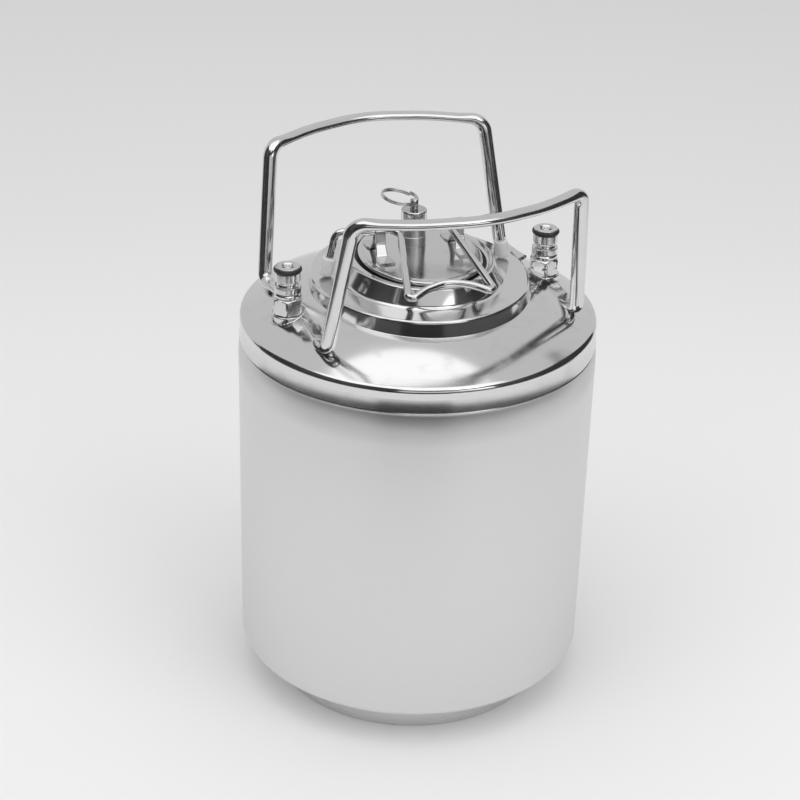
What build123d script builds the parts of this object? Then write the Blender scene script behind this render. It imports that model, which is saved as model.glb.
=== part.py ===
"""A small stainless pressure keg with two ball-lock posts and an oval hatch.

Millimetres, +Z up, the floor at Z = 0 and the vessel's axis on Z. The posts stand on the X axis,
the front handle is at -Y. The hatch, its lid and its bail are turned a little about Z.
"""

import os
from math import sqrt

from build123d import *

os.makedirs("parts", exist_ok=True)

# Vessel
SHELL_R = 114.0
SHEET = 1.2
SEAM_Z = 241.8
SEAM_R = 113.9
RIM_R = 113.2
RIM_Z = 257.7
RIM_EDGE_R = 2.2
SHOULDER_Z = 245.0
DOME_TOP_Z = 285.1
DISH_EDGE_Z = 25.4
DISH_LOW_Z = 9.0
CORNER_R = 3.5
PROFILE_R = 60.0
FOOT_RING_R = 91.4
FOOT_RING_SHEET = 1.8
FOOT_RING_LIP = 5.0
FOOT_RING_EDGE_R = 1.5

# Hatch ring: an oval wall with a flat step, and a raised collar whose lip narrows the mouth
HATCH_TURN = -5.5
STEP_A, STEP_B = 68.4, 74.0
STEP_Z = 283.6
STEP_SHEET, STEP_EDGE_R = 2.0, 2.2
HATCH_LOW_Z = 266.0
COLLAR_LOW_A, COLLAR_LOW_B = 49.8, 55.6
COLLAR_TOP_A, COLLAR_TOP_B = 45.6, 53.4
COLLAR_FOOT_R = 4.4
LIP_Z, LIP_UNDER_Z, LIP_EDGE_R = 295.3, 290.5, 1.9
WELL_A, WELL_B = 45.7, 52.7
MOUTH_A, MOUTH_B = 40.2, 48.5

# Lid and its gasket
LID_TOP_Z = 297.5
LID_SHEET, LID_EDGE_R = 1.6, 2.0
PLATEAU_A, PLATEAU_B = 37.8, 46.4
FLANGE_A, FLANGE_B = 45.1, 52.1
FLANGE_Z = 285.3
VALVE_HOLE_R = 6.3
GASKET_GAP, GASKET_EDGE_R = 0.1, 1.2

# Bail, its clips and its feet
WIRE_R = 2.35
HINGE_Y, HINGE_Z = 4.0, 312.6
CLIP_X = 25.8
CLIP_WIDTH, CLIP_SHEET, CLIP_CLEAR = 6.4, 1.2, 0.08
CLIP_WAIST_Z = 305.2
CLIP_FLARE_Y, CLIP_END_Y = 7.6, 13.0
CLIP_TOE_R, CLIP_WAIST_R = 1.4, 3.0
FOOT_X, FOOT_Y, FOOT_Z = 58.9, 8.46, 284.75
SHOULDER_X, SHOULDER_Y, BAIL_Z = 53.1, 6.4, 313.8
PIVOT_END_X = 32.0
ARM_X = 16.1
GRIP_X, GRIP_Y, GRIP_Z = 27.9, -63.3, 293.8
GRIP_BOW_X, GRIP_BOW_Y, GRIP_BOW_Z = 14.0, -54.0, 298.0
BAIL_RADII = [6.0, 18.0, 5.1, 3.4, 12.0]
SLEEVE_R, SLEEVE_LENGTH, SLEEVE_CAP = 4.35, 12.2, 1.4
SLEEVE_TIP_R, SLEEVE_TOP_R = 2.6, 0.7

# Relief valve, standing on the lid behind its middle
VALVE_Y = 14.0
SHANK_Z, SHANK_R = 289.5, 6.2
VALVE_BASE_Z, VALVE_BASE_R = 303.8, 7.9
VALVE_BARREL_Z, VALVE_BARREL_R = 311.5, 7.6
VALVE_CAP_Z, VALVE_CAP_R = 320.9, 8.2
VALVE_BORE_R = 4.7
SEAT_Z, SEAT_R = 293.5, 3.0
NUT_Z, NUT_FLATS = 292.3, 19.0
STEM_R, STEM_CLEAR = 2.0, 0.4
STEM_FLANGE_Z, STEM_FLANGE_R = 296.0, 4.3
STEM_FLANGE_TOP_Z = 298.0
STEM_SEAL_R = 4.2
CAP_ROOF_Z = 318.9
RELIEF_COIL_R, RELIEF_WIRE_R, RELIEF_TURNS = 3.4, 0.5, 8
EYE_Z, EYE_BORE_R, EYE_TURN = 324.4, 1.75, 20.0
EYE_THICK, EYE_WIDTH, EYE_HEIGHT, EYE_EDGE_R = 2.6, 5.4, 6.2, 1.0
RING_WIRE_R, RING_PITCH, RING_R = 0.56, 1.2, 11.4
RING_DIP, RING_ROLL = 10.0, 14.0

# Handles
ROD_R = 4.5
LEG_X, LEG_Y, LEG_Z = 82.8, 57.8, 268.3
CORNER_X, CORNER_Y, CORNER_Z = 74.0, 68.4, 353.0
BOW_X, BOW_Y = 40.0, 85.6
CROWN_Y, CROWN_Z = 95.5, 354.8
ROUND_RUN, FLAT_RUN = 10.0, 21.0
HANDLE_RADII = [7.5, 9.0]
GRIP_RADII = [100, 90, 100]
GRIP_WIDTH, GRIP_THICK = 9.4, 4.8
PAD_X = 82.2
ANKLE_Y, HEEL_Y, TOE_Y = 47.0, 37.0, 11.6
PAD_WIDTH, PAD_THICK, PAD_CORNER_R = 12.0, 4.4, 1.4
PAD_SINK, PAD_LAP, ANKLE_LAP = 0.2, 0.3, 0.4

# Ball-lock posts and what they hold
POST_X = 88.0
PORT_R, PORT_BORE_R, PORT_BASE_R = 10.3, 4.6, 1.0
PORT_LOW_Z, PORT_Z = 256.0, 270.5
NECK_R, NECK_Z = 7.0, 279.4
HEX_FLATS, HEX_TURN, HEX_Z = 17.2, 20.0, 281.1
HEX_CORNER_R, HEX_LOW_R, HEX_TOP_R = 9.7, 8.9, 8.6
NOTCH_R, NOTCH_DEPTH, NOTCH_WIDTH, NOTCH_HEIGHT = 9.9, 1.6, 3.2, 1.8
COLLAR_R, COLLAR_Z = 8.3, 287.1
COLLAR_FOOT, COLLAR_TOP = 7.8, 7.7
SCORE_Z, SCORE_DEPTH = 284.0, 0.7
WAIST_R = 6.7
BARREL_R, BARREL_Z = 7.9, 289.7
GROOVE_R, GROOVE_Z, GROOVE_TOP_Z = 6.5, 297.7, 300.5
NOSE_R, POST_Z = 7.7, 301.3
SOCKET_R, SOCKET_Z = 7.1, 284.0
BORE_R, CHAMBER_Z = 5.3, 298.2
THROAT_R, THROAT_TOP_R = 3.3, 4.5
POST_ORING_R, POST_ORING_HALF = 7.65, 1.15
POPPET_FLANGE_R, POPPET_FLANGE_Z = 4.9, 293.4
POPPET_SEAT_Z = 295.4
POPPET_PIN_R, POPPET_TAIL_R = 2.8, 1.8
SEAL_R, SEAL_HALF = 3.85, 1.0
POPPET_COIL_R, COIL_WIRE_R, POPPET_TURNS = 3.7, 0.5, 4
TUBE_R, TUBE_BORE_R = 4.0, 3.1
TUBE_FLANGE_R, TUBE_FLANGE_Z = 6.6, 281.6
TUBE_ORING_R, TUBE_ORING_HALF = 5.35, 1.25
GAS_TUBE_Z = 236.0
LIQUID_TUBE_X, LIQUID_TUBE_Z = 58.0, 19.6
SUMP_BEND_Z, SUMP_BEND_R = 36.0, 28.0
ROOM = 0.02

DOME_SPHERE_R = (RIM_R**2 + (DOME_TOP_Z - RIM_Z) ** 2) / (2 * (DOME_TOP_Z - RIM_Z))
DOME_CENTRE_Z = DOME_TOP_Z - DOME_SPHERE_R
DISH_SPHERE_R = (SHELL_R**2 + (DISH_EDGE_Z - DISH_LOW_Z) ** 2) / (2 * (DISH_EDGE_Z - DISH_LOW_Z))
ROOT = (0.0, 0.0)

HATCH = Plane.XY.rotated((0, 0, HATCH_TURN))
HATCH_SIDE = Plane(origin=(0, 0, 0), x_dir=HATCH.y_dir, z_dir=HATCH.x_dir)
VALVE_AT = HATCH.from_local_coords(Vector(0, VALVE_Y, 0))


def dome_z(radius, depth=0.0):
    """Height of the domed head at a radius, so far below its outside."""
    return DOME_CENTRE_Z + sqrt(DOME_SPHERE_R**2 - radius**2) - depth


def dish_z(radius, height=0.0):
    """Height of the dished bottom at a radius, so far above its outside."""
    return DISH_LOW_Z + DISH_SPHERE_R - sqrt(DISH_SPHERE_R**2 - radius**2) + height


def on_dome(x, y, height):
    """The point at a height above the dome's outside, square to it, with the dome's normal there."""
    normal = Vector(x, y, dome_z(sqrt(x**2 + y**2)) - DOME_CENTRE_Z).normalized()
    return Vector(0, 0, DOME_CENTRE_Z) + normal * (DOME_SPHERE_R + height), normal


def lathe(outline, at=ROOT):
    """A solid turned from its half outline of (radius, height) about the upright axis at a place."""
    with BuildPart() as turned:
        with BuildSketch(Plane((at[0], at[1], 0), x_dir=(1, 0, 0), z_dir=(0, -1, 0))):
            with BuildLine():
                Polyline(*outline, close=True)
            make_face()
        revolve(axis=Axis((at[0], at[1], 0), (0, 0, 1)))
    return turned.part


def hoop(radius, middle_z, half_width, half_height, at=ROOT):
    """A ring of oval section about the upright axis at a place."""
    with BuildPart() as ring:
        with BuildSketch(Plane((at[0], at[1], 0), x_dir=(1, 0, 0), z_dir=(0, -1, 0))):
            with Locations((radius, middle_z)):
                Ellipse(half_width, half_height)
        revolve(axis=Axis((at[0], at[1], 0), (0, 0, 1)))
    return ring.part


def coil(low_z, high_z, mean_r, wire_r, turns, at=ROOT):
    """A coil spring between two heights about the upright axis at a place."""
    height = high_z - low_z - 2 * wire_r
    with BuildPart() as spring:
        with BuildLine(Plane((at[0], at[1], low_z + wire_r))) as helix:
            Helix(pitch=height / turns, height=height, radius=mean_r)
        with BuildSketch(Plane(helix.line @ 0, z_dir=helix.line % 0)):
            Circle(wire_r)
        sweep(path=helix.line, is_frenet=True)
    return spring.part


def bent_rod(points, radii, rod_r):
    """A round rod along straight runs joined by tangent arcs."""
    with BuildPart() as rod:
        with BuildLine() as path:
            FilletPolyline(*points, radius=radii)
        with BuildSketch(Plane(path.line @ 0, z_dir=path.line % 0)):
            Circle(rod_r)
        sweep(path=path.line)
    return rod.part


# --- vessel ---------------------------------------------------------------------------------

with BuildPart() as body_shell:
    with BuildSketch(Plane.XZ) as wall:
        with BuildLine():
            ThreePointArc((0, DISH_LOW_Z), (PROFILE_R, dish_z(PROFILE_R)), (SHELL_R, DISH_EDGE_Z))
            Line((SHELL_R, DISH_EDGE_Z), (SHELL_R, SEAM_Z))
            Line((SHELL_R, SEAM_Z), (SHELL_R - SHEET, SEAM_Z))
            Line((SHELL_R - SHEET, SEAM_Z), (SHELL_R - SHEET, DISH_EDGE_Z + SHEET))
            ThreePointArc(
                (SHELL_R - SHEET, DISH_EDGE_Z + SHEET),
                (PROFILE_R, dish_z(PROFILE_R, SHEET)),
                (0, DISH_LOW_Z + SHEET),
            )
            Line((0, DISH_LOW_Z + SHEET), (0, DISH_LOW_Z))
        make_face()
    revolve(axis=Axis.Z)
    fillet(body_shell.edges().filter_by_position(Axis.Z, DISH_EDGE_Z - 0.1, DISH_EDGE_Z + 0.1), CORNER_R)
    inner_z = DISH_EDGE_Z + SHEET
    fillet(body_shell.edges().filter_by_position(Axis.Z, inner_z - 0.1, inner_z + 0.1), CORNER_R - SHEET)
body_shell.part.label = "body_shell"
export_step(body_shell.part, "parts/body_shell.step")

with BuildPart() as top_end_cap:
    with BuildSketch(Plane.XZ) as head:
        inner_r = RIM_R - SHEET
        with BuildLine():
            Polyline((SEAM_R - SHEET, SEAM_Z), (SEAM_R, SEAM_Z), (RIM_R, SHOULDER_Z), (RIM_R, RIM_Z))
            ThreePointArc((RIM_R, RIM_Z), (PROFILE_R, dome_z(PROFILE_R)), (0, DOME_TOP_Z))
            Line((0, DOME_TOP_Z), (0, DOME_TOP_Z - SHEET))
            ThreePointArc(
                (0, DOME_TOP_Z - SHEET),
                (PROFILE_R, dome_z(PROFILE_R, SHEET)),
                (inner_r, dome_z(inner_r, SHEET)),
            )
            Polyline((inner_r, dome_z(inner_r, SHEET)), (inner_r, SHOULDER_Z), (SEAM_R - SHEET, SEAM_Z))
        make_face()
        fillet(head.vertices().group_by(Axis.X)[-2].sort_by(Axis.Y)[-1], RIM_EDGE_R)
    revolve(axis=Axis.Z)
    with BuildSketch(HATCH.offset(HATCH_LOW_Z)):
        Ellipse(STEP_A, STEP_B)
    extrude(amount=40, mode=Mode.SUBTRACT)
    with Locations((-POST_X, 0, 240), (POST_X, 0, 240)):
        Cylinder(PORT_R, 60, mode=Mode.SUBTRACT, align=(Align.CENTER, Align.CENTER, Align.MIN))
top_end_cap.part.label = "top_end_cap"
export_step(top_end_cap.part, "parts/top_end_cap.step")

with BuildPart() as foot_ring:
    with BuildSketch(Plane.XZ) as band:
        with BuildLine():
            Polyline(
                (FOOT_RING_R - FOOT_RING_LIP, 0),
                (FOOT_RING_R, 0),
                (FOOT_RING_R, DISH_EDGE_Z),
                (FOOT_RING_R - FOOT_RING_SHEET, DISH_EDGE_Z),
                (FOOT_RING_R - FOOT_RING_SHEET, FOOT_RING_SHEET),
                (FOOT_RING_R - FOOT_RING_LIP, FOOT_RING_SHEET),
                close=True,
            )
        make_face()
        fillet(band.vertices().group_by(Axis.X)[-1].sort_by(Axis.Y)[0], FOOT_RING_EDGE_R)
    revolve(axis=Axis.Z)
    with BuildSketch(Plane.XZ):
        with BuildLine():
            ThreePointArc((0, DISH_LOW_Z), (PROFILE_R, dish_z(PROFILE_R)), (SHELL_R, DISH_EDGE_Z))
            Polyline((SHELL_R, DISH_EDGE_Z), (0, SEAM_Z), (0, DISH_LOW_Z))
        make_face()
    revolve(axis=Axis.Z, mode=Mode.SUBTRACT)
foot_ring.part.label = "foot_ring"
export_step(foot_ring.part, "parts/foot_ring.step")

with BuildPart() as hatch_ring:
    with BuildSketch(HATCH.offset(HATCH_LOW_Z)):
        Ellipse(STEP_A, STEP_B)
    extrude(amount=STEP_Z - HATCH_LOW_Z)
    with BuildSketch(HATCH.offset(STEP_Z)):
        Ellipse(COLLAR_LOW_A, COLLAR_LOW_B)
    with BuildSketch(HATCH.offset(LIP_Z)):
        Ellipse(COLLAR_TOP_A, COLLAR_TOP_B)
    loft()
    step_edges = hatch_ring.edges().filter_by_position(Axis.Z, STEP_Z - 0.1, STEP_Z + 0.1)
    fillet(step_edges.sort_by(Edge.length)[-1], STEP_EDGE_R)
    step_edges = hatch_ring.edges().filter_by_position(Axis.Z, STEP_Z - 0.1, STEP_Z + 0.1)
    fillet(step_edges.sort_by(Edge.length)[0], COLLAR_FOOT_R)
    with BuildSketch(HATCH.offset(HATCH_LOW_Z)):
        Ellipse(STEP_A - STEP_SHEET, STEP_B - STEP_SHEET)
    extrude(amount=STEP_Z - STEP_SHEET - HATCH_LOW_Z, mode=Mode.SUBTRACT)
    with BuildSketch(HATCH.offset(HATCH_LOW_Z)):
        Ellipse(WELL_A, WELL_B)
    extrude(amount=LIP_UNDER_Z - HATCH_LOW_Z, mode=Mode.SUBTRACT)
    with BuildSketch(HATCH.offset(HATCH_LOW_Z)):
        Ellipse(MOUTH_A, MOUTH_B)
    extrude(amount=LIP_Z - HATCH_LOW_Z, mode=Mode.SUBTRACT)
    fillet(hatch_ring.edges().filter_by_position(Axis.Z, LIP_Z - 0.1, LIP_Z + 0.1), LIP_EDGE_R)
hatch_ring.part.label = "hatch_ring"
export_step(hatch_ring.part, "parts/hatch_ring.step")

# --- handles: a rod leg each side, a bowed grip pressed flat, and flat feet on the dome -----------

with BuildPart() as handle_front:
    leg = Vector(LEG_X, -LEG_Y, LEG_Z)
    corner = Vector(CORNER_X, -CORNER_Y, CORNER_Z)
    bow = Vector(BOW_X, -BOW_Y, (CORNER_Z + CROWN_Z) / 2)
    along = (bow - corner).normalized()
    round_end = corner + along * ROUND_RUN
    flat_end = corner + along * FLAT_RUN
    ankle = on_dome(PAD_X, -ANKLE_Y, ROD_R - ANKLE_LAP)[0]
    heel, heel_normal = on_dome(PAD_X, -HEEL_Y, PAD_THICK / 2 - PAD_SINK)
    toe = on_dome(PAD_X, -TOE_Y, PAD_THICK / 2 - PAD_SINK)[0]
    add(bent_rod([ankle, leg, corner, round_end], HANDLE_RADII, ROD_R))
    with BuildSketch(Plane(round_end, x_dir=along.cross(Vector(0, 0, 1)), z_dir=along)):
        Circle(ROD_R)
    with BuildSketch(Plane(flat_end, x_dir=along.cross(Vector(0, 0, 1)), z_dir=along)):
        SlotOverall(GRIP_WIDTH, GRIP_THICK)
    loft()
    ankle_way = (ankle - leg).normalized()
    pad_way = (toe - heel).normalized()
    with BuildSketch(Plane(ankle, x_dir=heel_normal.cross(ankle_way), z_dir=ankle_way)):
        Circle(ROD_R)
    with BuildSketch(Plane(heel, x_dir=heel_normal.cross(pad_way), z_dir=pad_way)):
        Ellipse(PAD_WIDTH / 2 - PAD_LAP, PAD_THICK / 2 - PAD_LAP)
    loft()
    with BuildSketch(Plane(heel, x_dir=heel_normal.cross(pad_way), z_dir=pad_way)):
        RectangleRounded(PAD_WIDTH, PAD_THICK, PAD_CORNER_R)
    extrude(amount=(toe - heel).length)
    mirror(about=Plane.YZ)
    with BuildLine() as bow_line:
        FilletPolyline(
            flat_end,
            bow,
            (0, -CROWN_Y, CROWN_Z),
            (-bow.X, bow.Y, bow.Z),
            (-flat_end.X, flat_end.Y, flat_end.Z),
            radius=GRIP_RADII,
        )
    with BuildSketch(Plane(flat_end, x_dir=along.cross(Vector(0, 0, 1)), z_dir=along)):
        SlotOverall(GRIP_WIDTH, GRIP_THICK)
    sweep(path=bow_line.line)
    add(top_end_cap.part, mode=Mode.SUBTRACT)
handle_front.part.label = "handle_front"
export_step(handle_front.part, "parts/handle_front.step")

with BuildPart() as handle_rear:
    add(mirror(handle_front.part, about=Plane.XZ, mode=Mode.PRIVATE))
handle_rear.part.label = "handle_rear"
export_step(handle_rear.part, "parts/handle_rear.step")

# --- ball-lock posts, one set for each side -----------------------------------------------------

for side, post_x in (("gas", POST_X), ("liquid", -POST_X)):
    at = (post_x, 0)

    with BuildPart() as port:
        add(lathe([
            (0, PORT_LOW_Z),
            (PORT_R, PORT_LOW_Z),
            (PORT_R, PORT_Z),
            (NECK_R, PORT_Z),
            (NECK_R, NECK_Z),
            (0, NECK_Z),
        ], at))
        fillet(port.edges().filter_by_position(Axis.Z, PORT_LOW_Z - 0.1, PORT_LOW_Z + 0.1), PORT_BASE_R)
        with Locations((post_x, 0, PORT_LOW_Z)):
            Cylinder(PORT_BORE_R, 60, mode=Mode.SUBTRACT)
    port.part.label = f"{side}_port"
    export_step(port.part, f"parts/{side}_port.step")

    with BuildPart() as post:
        with BuildSketch(Plane((post_x, 0, PORT_Z))):
            RegularPolygon(HEX_FLATS / 2, 6, major_radius=False, rotation=HEX_TURN)
        extrude(amount=HEX_Z - PORT_Z)
        add(lathe([
            (0, PORT_Z),
            (HEX_LOW_R, PORT_Z),
            (HEX_CORNER_R, PORT_Z + 0.7),
            (HEX_CORNER_R, HEX_Z - 1.0),
            (HEX_TOP_R, HEX_Z),
            (0, HEX_Z),
        ], at), mode=Mode.INTERSECT)
        if side == "gas":
            with Locations((post_x, 0, (PORT_Z + HEX_Z) / 2)):
                with PolarLocations(NOTCH_R, 6, start_angle=HEX_TURN):
                    Box(NOTCH_DEPTH, NOTCH_WIDTH, NOTCH_HEIGHT, mode=Mode.SUBTRACT)
        add(lathe([
            (0, HEX_Z - 1),
            (COLLAR_FOOT, HEX_Z - 1),
            (COLLAR_FOOT, HEX_Z),
            (COLLAR_R, HEX_Z + 0.5),
            (COLLAR_R, SCORE_Z - SCORE_DEPTH),
            (COLLAR_R - SCORE_DEPTH, SCORE_Z),
            (COLLAR_R, SCORE_Z + SCORE_DEPTH),
            (COLLAR_R, COLLAR_Z - 0.6),
            (COLLAR_TOP, COLLAR_Z),
            (WAIST_R, COLLAR_Z),
            (WAIST_R, BARREL_Z),
            (BARREL_R - 0.4, BARREL_Z),
            (BARREL_R, BARREL_Z + 0.4),
            (BARREL_R, GROOVE_Z),
            (GROOVE_R, GROOVE_Z),
            (GROOVE_R, GROOVE_TOP_Z),
            (NOSE_R, GROOVE_TOP_Z),
            (NOSE_R, POST_Z - 0.3),
            (NOSE_R - 0.4, POST_Z),
            (0, POST_Z),
        ], at))
        add(lathe([
            (0, PORT_Z - 1),
            (SOCKET_R, PORT_Z - 1),
            (SOCKET_R, SOCKET_Z),
            (BORE_R, SOCKET_Z),
            (BORE_R, CHAMBER_Z),
            (THROAT_R, CHAMBER_Z),
            (THROAT_R, POST_Z - 1.0),
            (THROAT_TOP_R, POST_Z + 0.2),
            (0, POST_Z + 0.2),
        ], at), mode=Mode.SUBTRACT)
    post.part.label = f"{side}_post"
    export_step(post.part, f"parts/{side}_post.step")

    with BuildPart() as post_oring:
        middle_z, half_height = (GROOVE_Z + GROOVE_TOP_Z) / 2, (GROOVE_TOP_Z - GROOVE_Z) / 2
        add(hoop(POST_ORING_R, middle_z, POST_ORING_HALF, half_height - ROOM, at))
    post_oring.part.label = f"{side}_post_oring"
    export_step(post_oring.part, f"parts/{side}_post_oring.step")

    with BuildPart() as poppet:
        add(lathe([
            (0, POPPET_FLANGE_Z - 2),
            (POPPET_TAIL_R, POPPET_FLANGE_Z - 2),
            (POPPET_TAIL_R + 0.4, POPPET_FLANGE_Z),
            (POPPET_FLANGE_R, POPPET_FLANGE_Z),
            (POPPET_FLANGE_R, POPPET_SEAT_Z),
            (POPPET_PIN_R, POPPET_SEAT_Z),
            (POPPET_PIN_R, POST_Z - 0.8),
            (POPPET_PIN_R - 0.5, POST_Z - 0.3),
            (0, POST_Z - 0.3),
        ], at))
    poppet.part.label = f"{side}_poppet"
    export_step(poppet.part, f"parts/{side}_poppet.step")

    with BuildPart() as poppet_seal:
        middle_z, half_height = (POPPET_SEAT_Z + CHAMBER_Z) / 2, (CHAMBER_Z - POPPET_SEAT_Z) / 2
        add(hoop(SEAL_R, middle_z, SEAL_HALF, half_height - ROOM, at))
    poppet_seal.part.label = f"{side}_poppet_seal"
    export_step(poppet_seal.part, f"parts/{side}_poppet_seal.step")

    with BuildPart() as poppet_spring:
        add(coil(SOCKET_Z, POPPET_FLANGE_Z, POPPET_COIL_R, COIL_WIRE_R, POPPET_TURNS, at))
    poppet_spring.part.label = f"{side}_poppet_spring"
    export_step(poppet_spring.part, f"parts/{side}_poppet_spring.step")

    with BuildPart() as dip_tube:
        add(lathe([
            (0, TUBE_FLANGE_Z),
            (TUBE_FLANGE_R, TUBE_FLANGE_Z),
            (TUBE_FLANGE_R, SOCKET_Z),
            (0, SOCKET_Z),
        ], at))
        if side == "gas":
            add(lathe([(0, GAS_TUBE_Z), (TUBE_R, GAS_TUBE_Z), (TUBE_R, SOCKET_Z), (0, SOCKET_Z)], at))
            with Locations((post_x, 0, PORT_Z)):
                Cylinder(TUBE_BORE_R, 100, mode=Mode.SUBTRACT)
        else:
            sump = [(post_x, 0, SOCKET_Z), (post_x, 0, SUMP_BEND_Z), (-LIQUID_TUBE_X, 0, LIQUID_TUBE_Z)]
            add(bent_rod(sump, [SUMP_BEND_R], TUBE_R))
            add(bent_rod(sump, [SUMP_BEND_R], TUBE_BORE_R), mode=Mode.SUBTRACT)
    dip_tube.part.label = f"{side}_dip_tube"
    export_step(dip_tube.part, f"parts/{side}_dip_tube.step")

    with BuildPart() as tube_oring:
        middle_z, half_height = (NECK_Z + TUBE_FLANGE_Z) / 2, (TUBE_FLANGE_Z - NECK_Z) / 2
        add(hoop(TUBE_ORING_R, middle_z, TUBE_ORING_HALF, half_height - ROOM, at))
    tube_oring.part.label = f"{side}_tube_oring"
    export_step(tube_oring.part, f"parts/{side}_tube_oring.step")

# --- lid ------------------------------------------------------------------------------------------

with BuildPart() as lid:
    with BuildSketch(HATCH.offset(FLANGE_Z)):
        Ellipse(FLANGE_A, FLANGE_B)
    extrude(amount=LID_SHEET)
    with BuildSketch(HATCH.offset(FLANGE_Z)):
        Ellipse(PLATEAU_A, PLATEAU_B)
    extrude(amount=LID_TOP_Z - FLANGE_Z)
    fillet(lid.edges().filter_by_position(Axis.Z, LID_TOP_Z - 0.1, LID_TOP_Z + 0.1), LID_EDGE_R)
    with BuildSketch(HATCH.offset(FLANGE_Z)):
        Ellipse(PLATEAU_A - LID_SHEET, PLATEAU_B - LID_SHEET)
    extrude(amount=LID_TOP_Z - LID_SHEET - FLANGE_Z, mode=Mode.SUBTRACT)
    with Locations(Location(VALVE_AT)):
        Cylinder(VALVE_HOLE_R, 700, mode=Mode.SUBTRACT)
lid.part.label = "lid"
export_step(lid.part, "parts/lid.step")

with BuildPart() as lid_gasket:
    with BuildSketch(HATCH.offset(FLANGE_Z + LID_SHEET)):
        Ellipse(FLANGE_A - GASKET_GAP, FLANGE_B - GASKET_GAP)
        Ellipse(PLATEAU_A + GASKET_GAP, PLATEAU_B + GASKET_GAP, mode=Mode.SUBTRACT)
    extrude(amount=LIP_UNDER_Z - GASKET_GAP / 2 - FLANGE_Z - LID_SHEET)
    fillet(lid_gasket.edges(), GASKET_EDGE_R)
lid_gasket.part.label = "lid_gasket"
export_step(lid_gasket.part, "parts/lid_gasket.step")

for side, clip_x in (("left", -CLIP_X), ("right", CLIP_X)):
    loop_r = WIRE_R + CLIP_CLEAR + CLIP_SHEET / 2
    flange_z = LID_TOP_Z + CLIP_SHEET / 2
    with BuildPart() as clip:
        with BuildSketch(HATCH_SIDE.offset(clip_x - CLIP_WIDTH / 2)):
            with BuildLine() as strap:
                FilletPolyline(
                    (HINGE_Y - CLIP_END_Y, flange_z),
                    (HINGE_Y - CLIP_FLARE_Y, flange_z),
                    (HINGE_Y - loop_r, CLIP_WAIST_Z),
                    (HINGE_Y - loop_r, HINGE_Z),
                    radius=[CLIP_TOE_R, CLIP_WAIST_R],
                )
                ThreePointArc(
                    (HINGE_Y - loop_r, HINGE_Z), (HINGE_Y, HINGE_Z + loop_r), (HINGE_Y + loop_r, HINGE_Z)
                )
                FilletPolyline(
                    (HINGE_Y + loop_r, HINGE_Z),
                    (HINGE_Y + loop_r, CLIP_WAIST_Z),
                    (HINGE_Y + CLIP_FLARE_Y, flange_z),
                    (HINGE_Y + CLIP_END_Y, flange_z),
                    radius=[CLIP_WAIST_R, CLIP_TOE_R],
                )
            trace(line_width=CLIP_SHEET)
        extrude(amount=CLIP_WIDTH)
    clip.part.label = f"bail_clip_{side}"
    export_step(clip.part, f"parts/bail_clip_{side}.step")

# --- bail -----------------------------------------------------------------------------------------

foot_way = (Vector(-FOOT_X, FOOT_Y, FOOT_Z) - Vector(-SHOULDER_X, SHOULDER_Y, BAIL_Z)).normalized()
foot_tip = Vector(-FOOT_X, FOOT_Y, FOOT_Z)
wire_end = foot_tip - foot_way * SLEEVE_CAP
half_bail = [
    wire_end,
    (-SHOULDER_X, SHOULDER_Y, BAIL_Z),
    (-PIVOT_END_X, HINGE_Y, HINGE_Z),
    (-ARM_X, HINGE_Y, HINGE_Z),
    (-GRIP_X, GRIP_Y, GRIP_Z),
    (-GRIP_BOW_X, GRIP_BOW_Y, GRIP_BOW_Z),
]
half_bail = [Vector(*point) for point in half_bail]
other_half = [Vector(-point.X, point.Y, point.Z) for point in reversed(half_bail)]
bail_points = [HATCH.from_local_coords(point) for point in half_bail + other_half]

with BuildPart() as lid_bail:
    add(bent_rod(bail_points, BAIL_RADII + BAIL_RADII[::-1], WIRE_R))
lid_bail.part.label = "lid_bail"
export_step(lid_bail.part, "parts/lid_bail.step")

for side, mirror_x in (("left", 1), ("right", -1)):
    tip = Vector(foot_tip.X * mirror_x, foot_tip.Y, foot_tip.Z)
    way = Vector(foot_way.X * mirror_x, foot_way.Y, foot_way.Z)
    tip_plane = HATCH * Location(Plane(tip, z_dir=way * -1))
    with BuildPart() as bail_foot:
        with BuildSketch(Plane(tip_plane)):
            Circle(SLEEVE_R)
        extrude(amount=SLEEVE_LENGTH)
        fillet(bail_foot.faces().sort_by(Axis.Z)[0].edges(), SLEEVE_TIP_R)
        with BuildSketch(Plane(tip_plane).offset(SLEEVE_CAP)):
            Circle(WIRE_R)
        extrude(amount=SLEEVE_LENGTH, mode=Mode.SUBTRACT)
        fillet(bail_foot.faces().sort_by(Axis.Z)[-1].edges().sort_by(Edge.length)[-1], SLEEVE_TOP_R)
    bail_foot.part.label = f"bail_foot_{side}"
    export_step(bail_foot.part, f"parts/bail_foot_{side}.step")

# --- pressure relief valve ------------------------------------------------------------------------

valve_at = (VALVE_AT.X, VALVE_AT.Y)

with BuildPart() as relief_valve_body:
    add(lathe([
        (0, SHANK_Z), (SHANK_R - 0.5, SHANK_Z), (SHANK_R, SHANK_Z + 0.5), (SHANK_R, LID_TOP_Z),
        (VALVE_BASE_R, LID_TOP_Z), (VALVE_BASE_R, VALVE_BASE_Z - 0.5), (VALVE_BASE_R - 0.5, VALVE_BASE_Z),
        (VALVE_BARREL_R, VALVE_BASE_Z), (VALVE_BARREL_R, VALVE_BARREL_Z), (0, VALVE_BARREL_Z),
    ], valve_at))
    add(lathe([
        (0, SHANK_Z - 1), (SEAT_R, SHANK_Z - 1), (SEAT_R, SEAT_Z), (VALVE_BORE_R, SEAT_Z),
        (VALVE_BORE_R, VALVE_BARREL_Z + 1), (0, VALVE_BARREL_Z + 1),
    ], valve_at), mode=Mode.SUBTRACT)
relief_valve_body.part.label = "relief_valve_body"
export_step(relief_valve_body.part, "parts/relief_valve_body.step")

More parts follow.
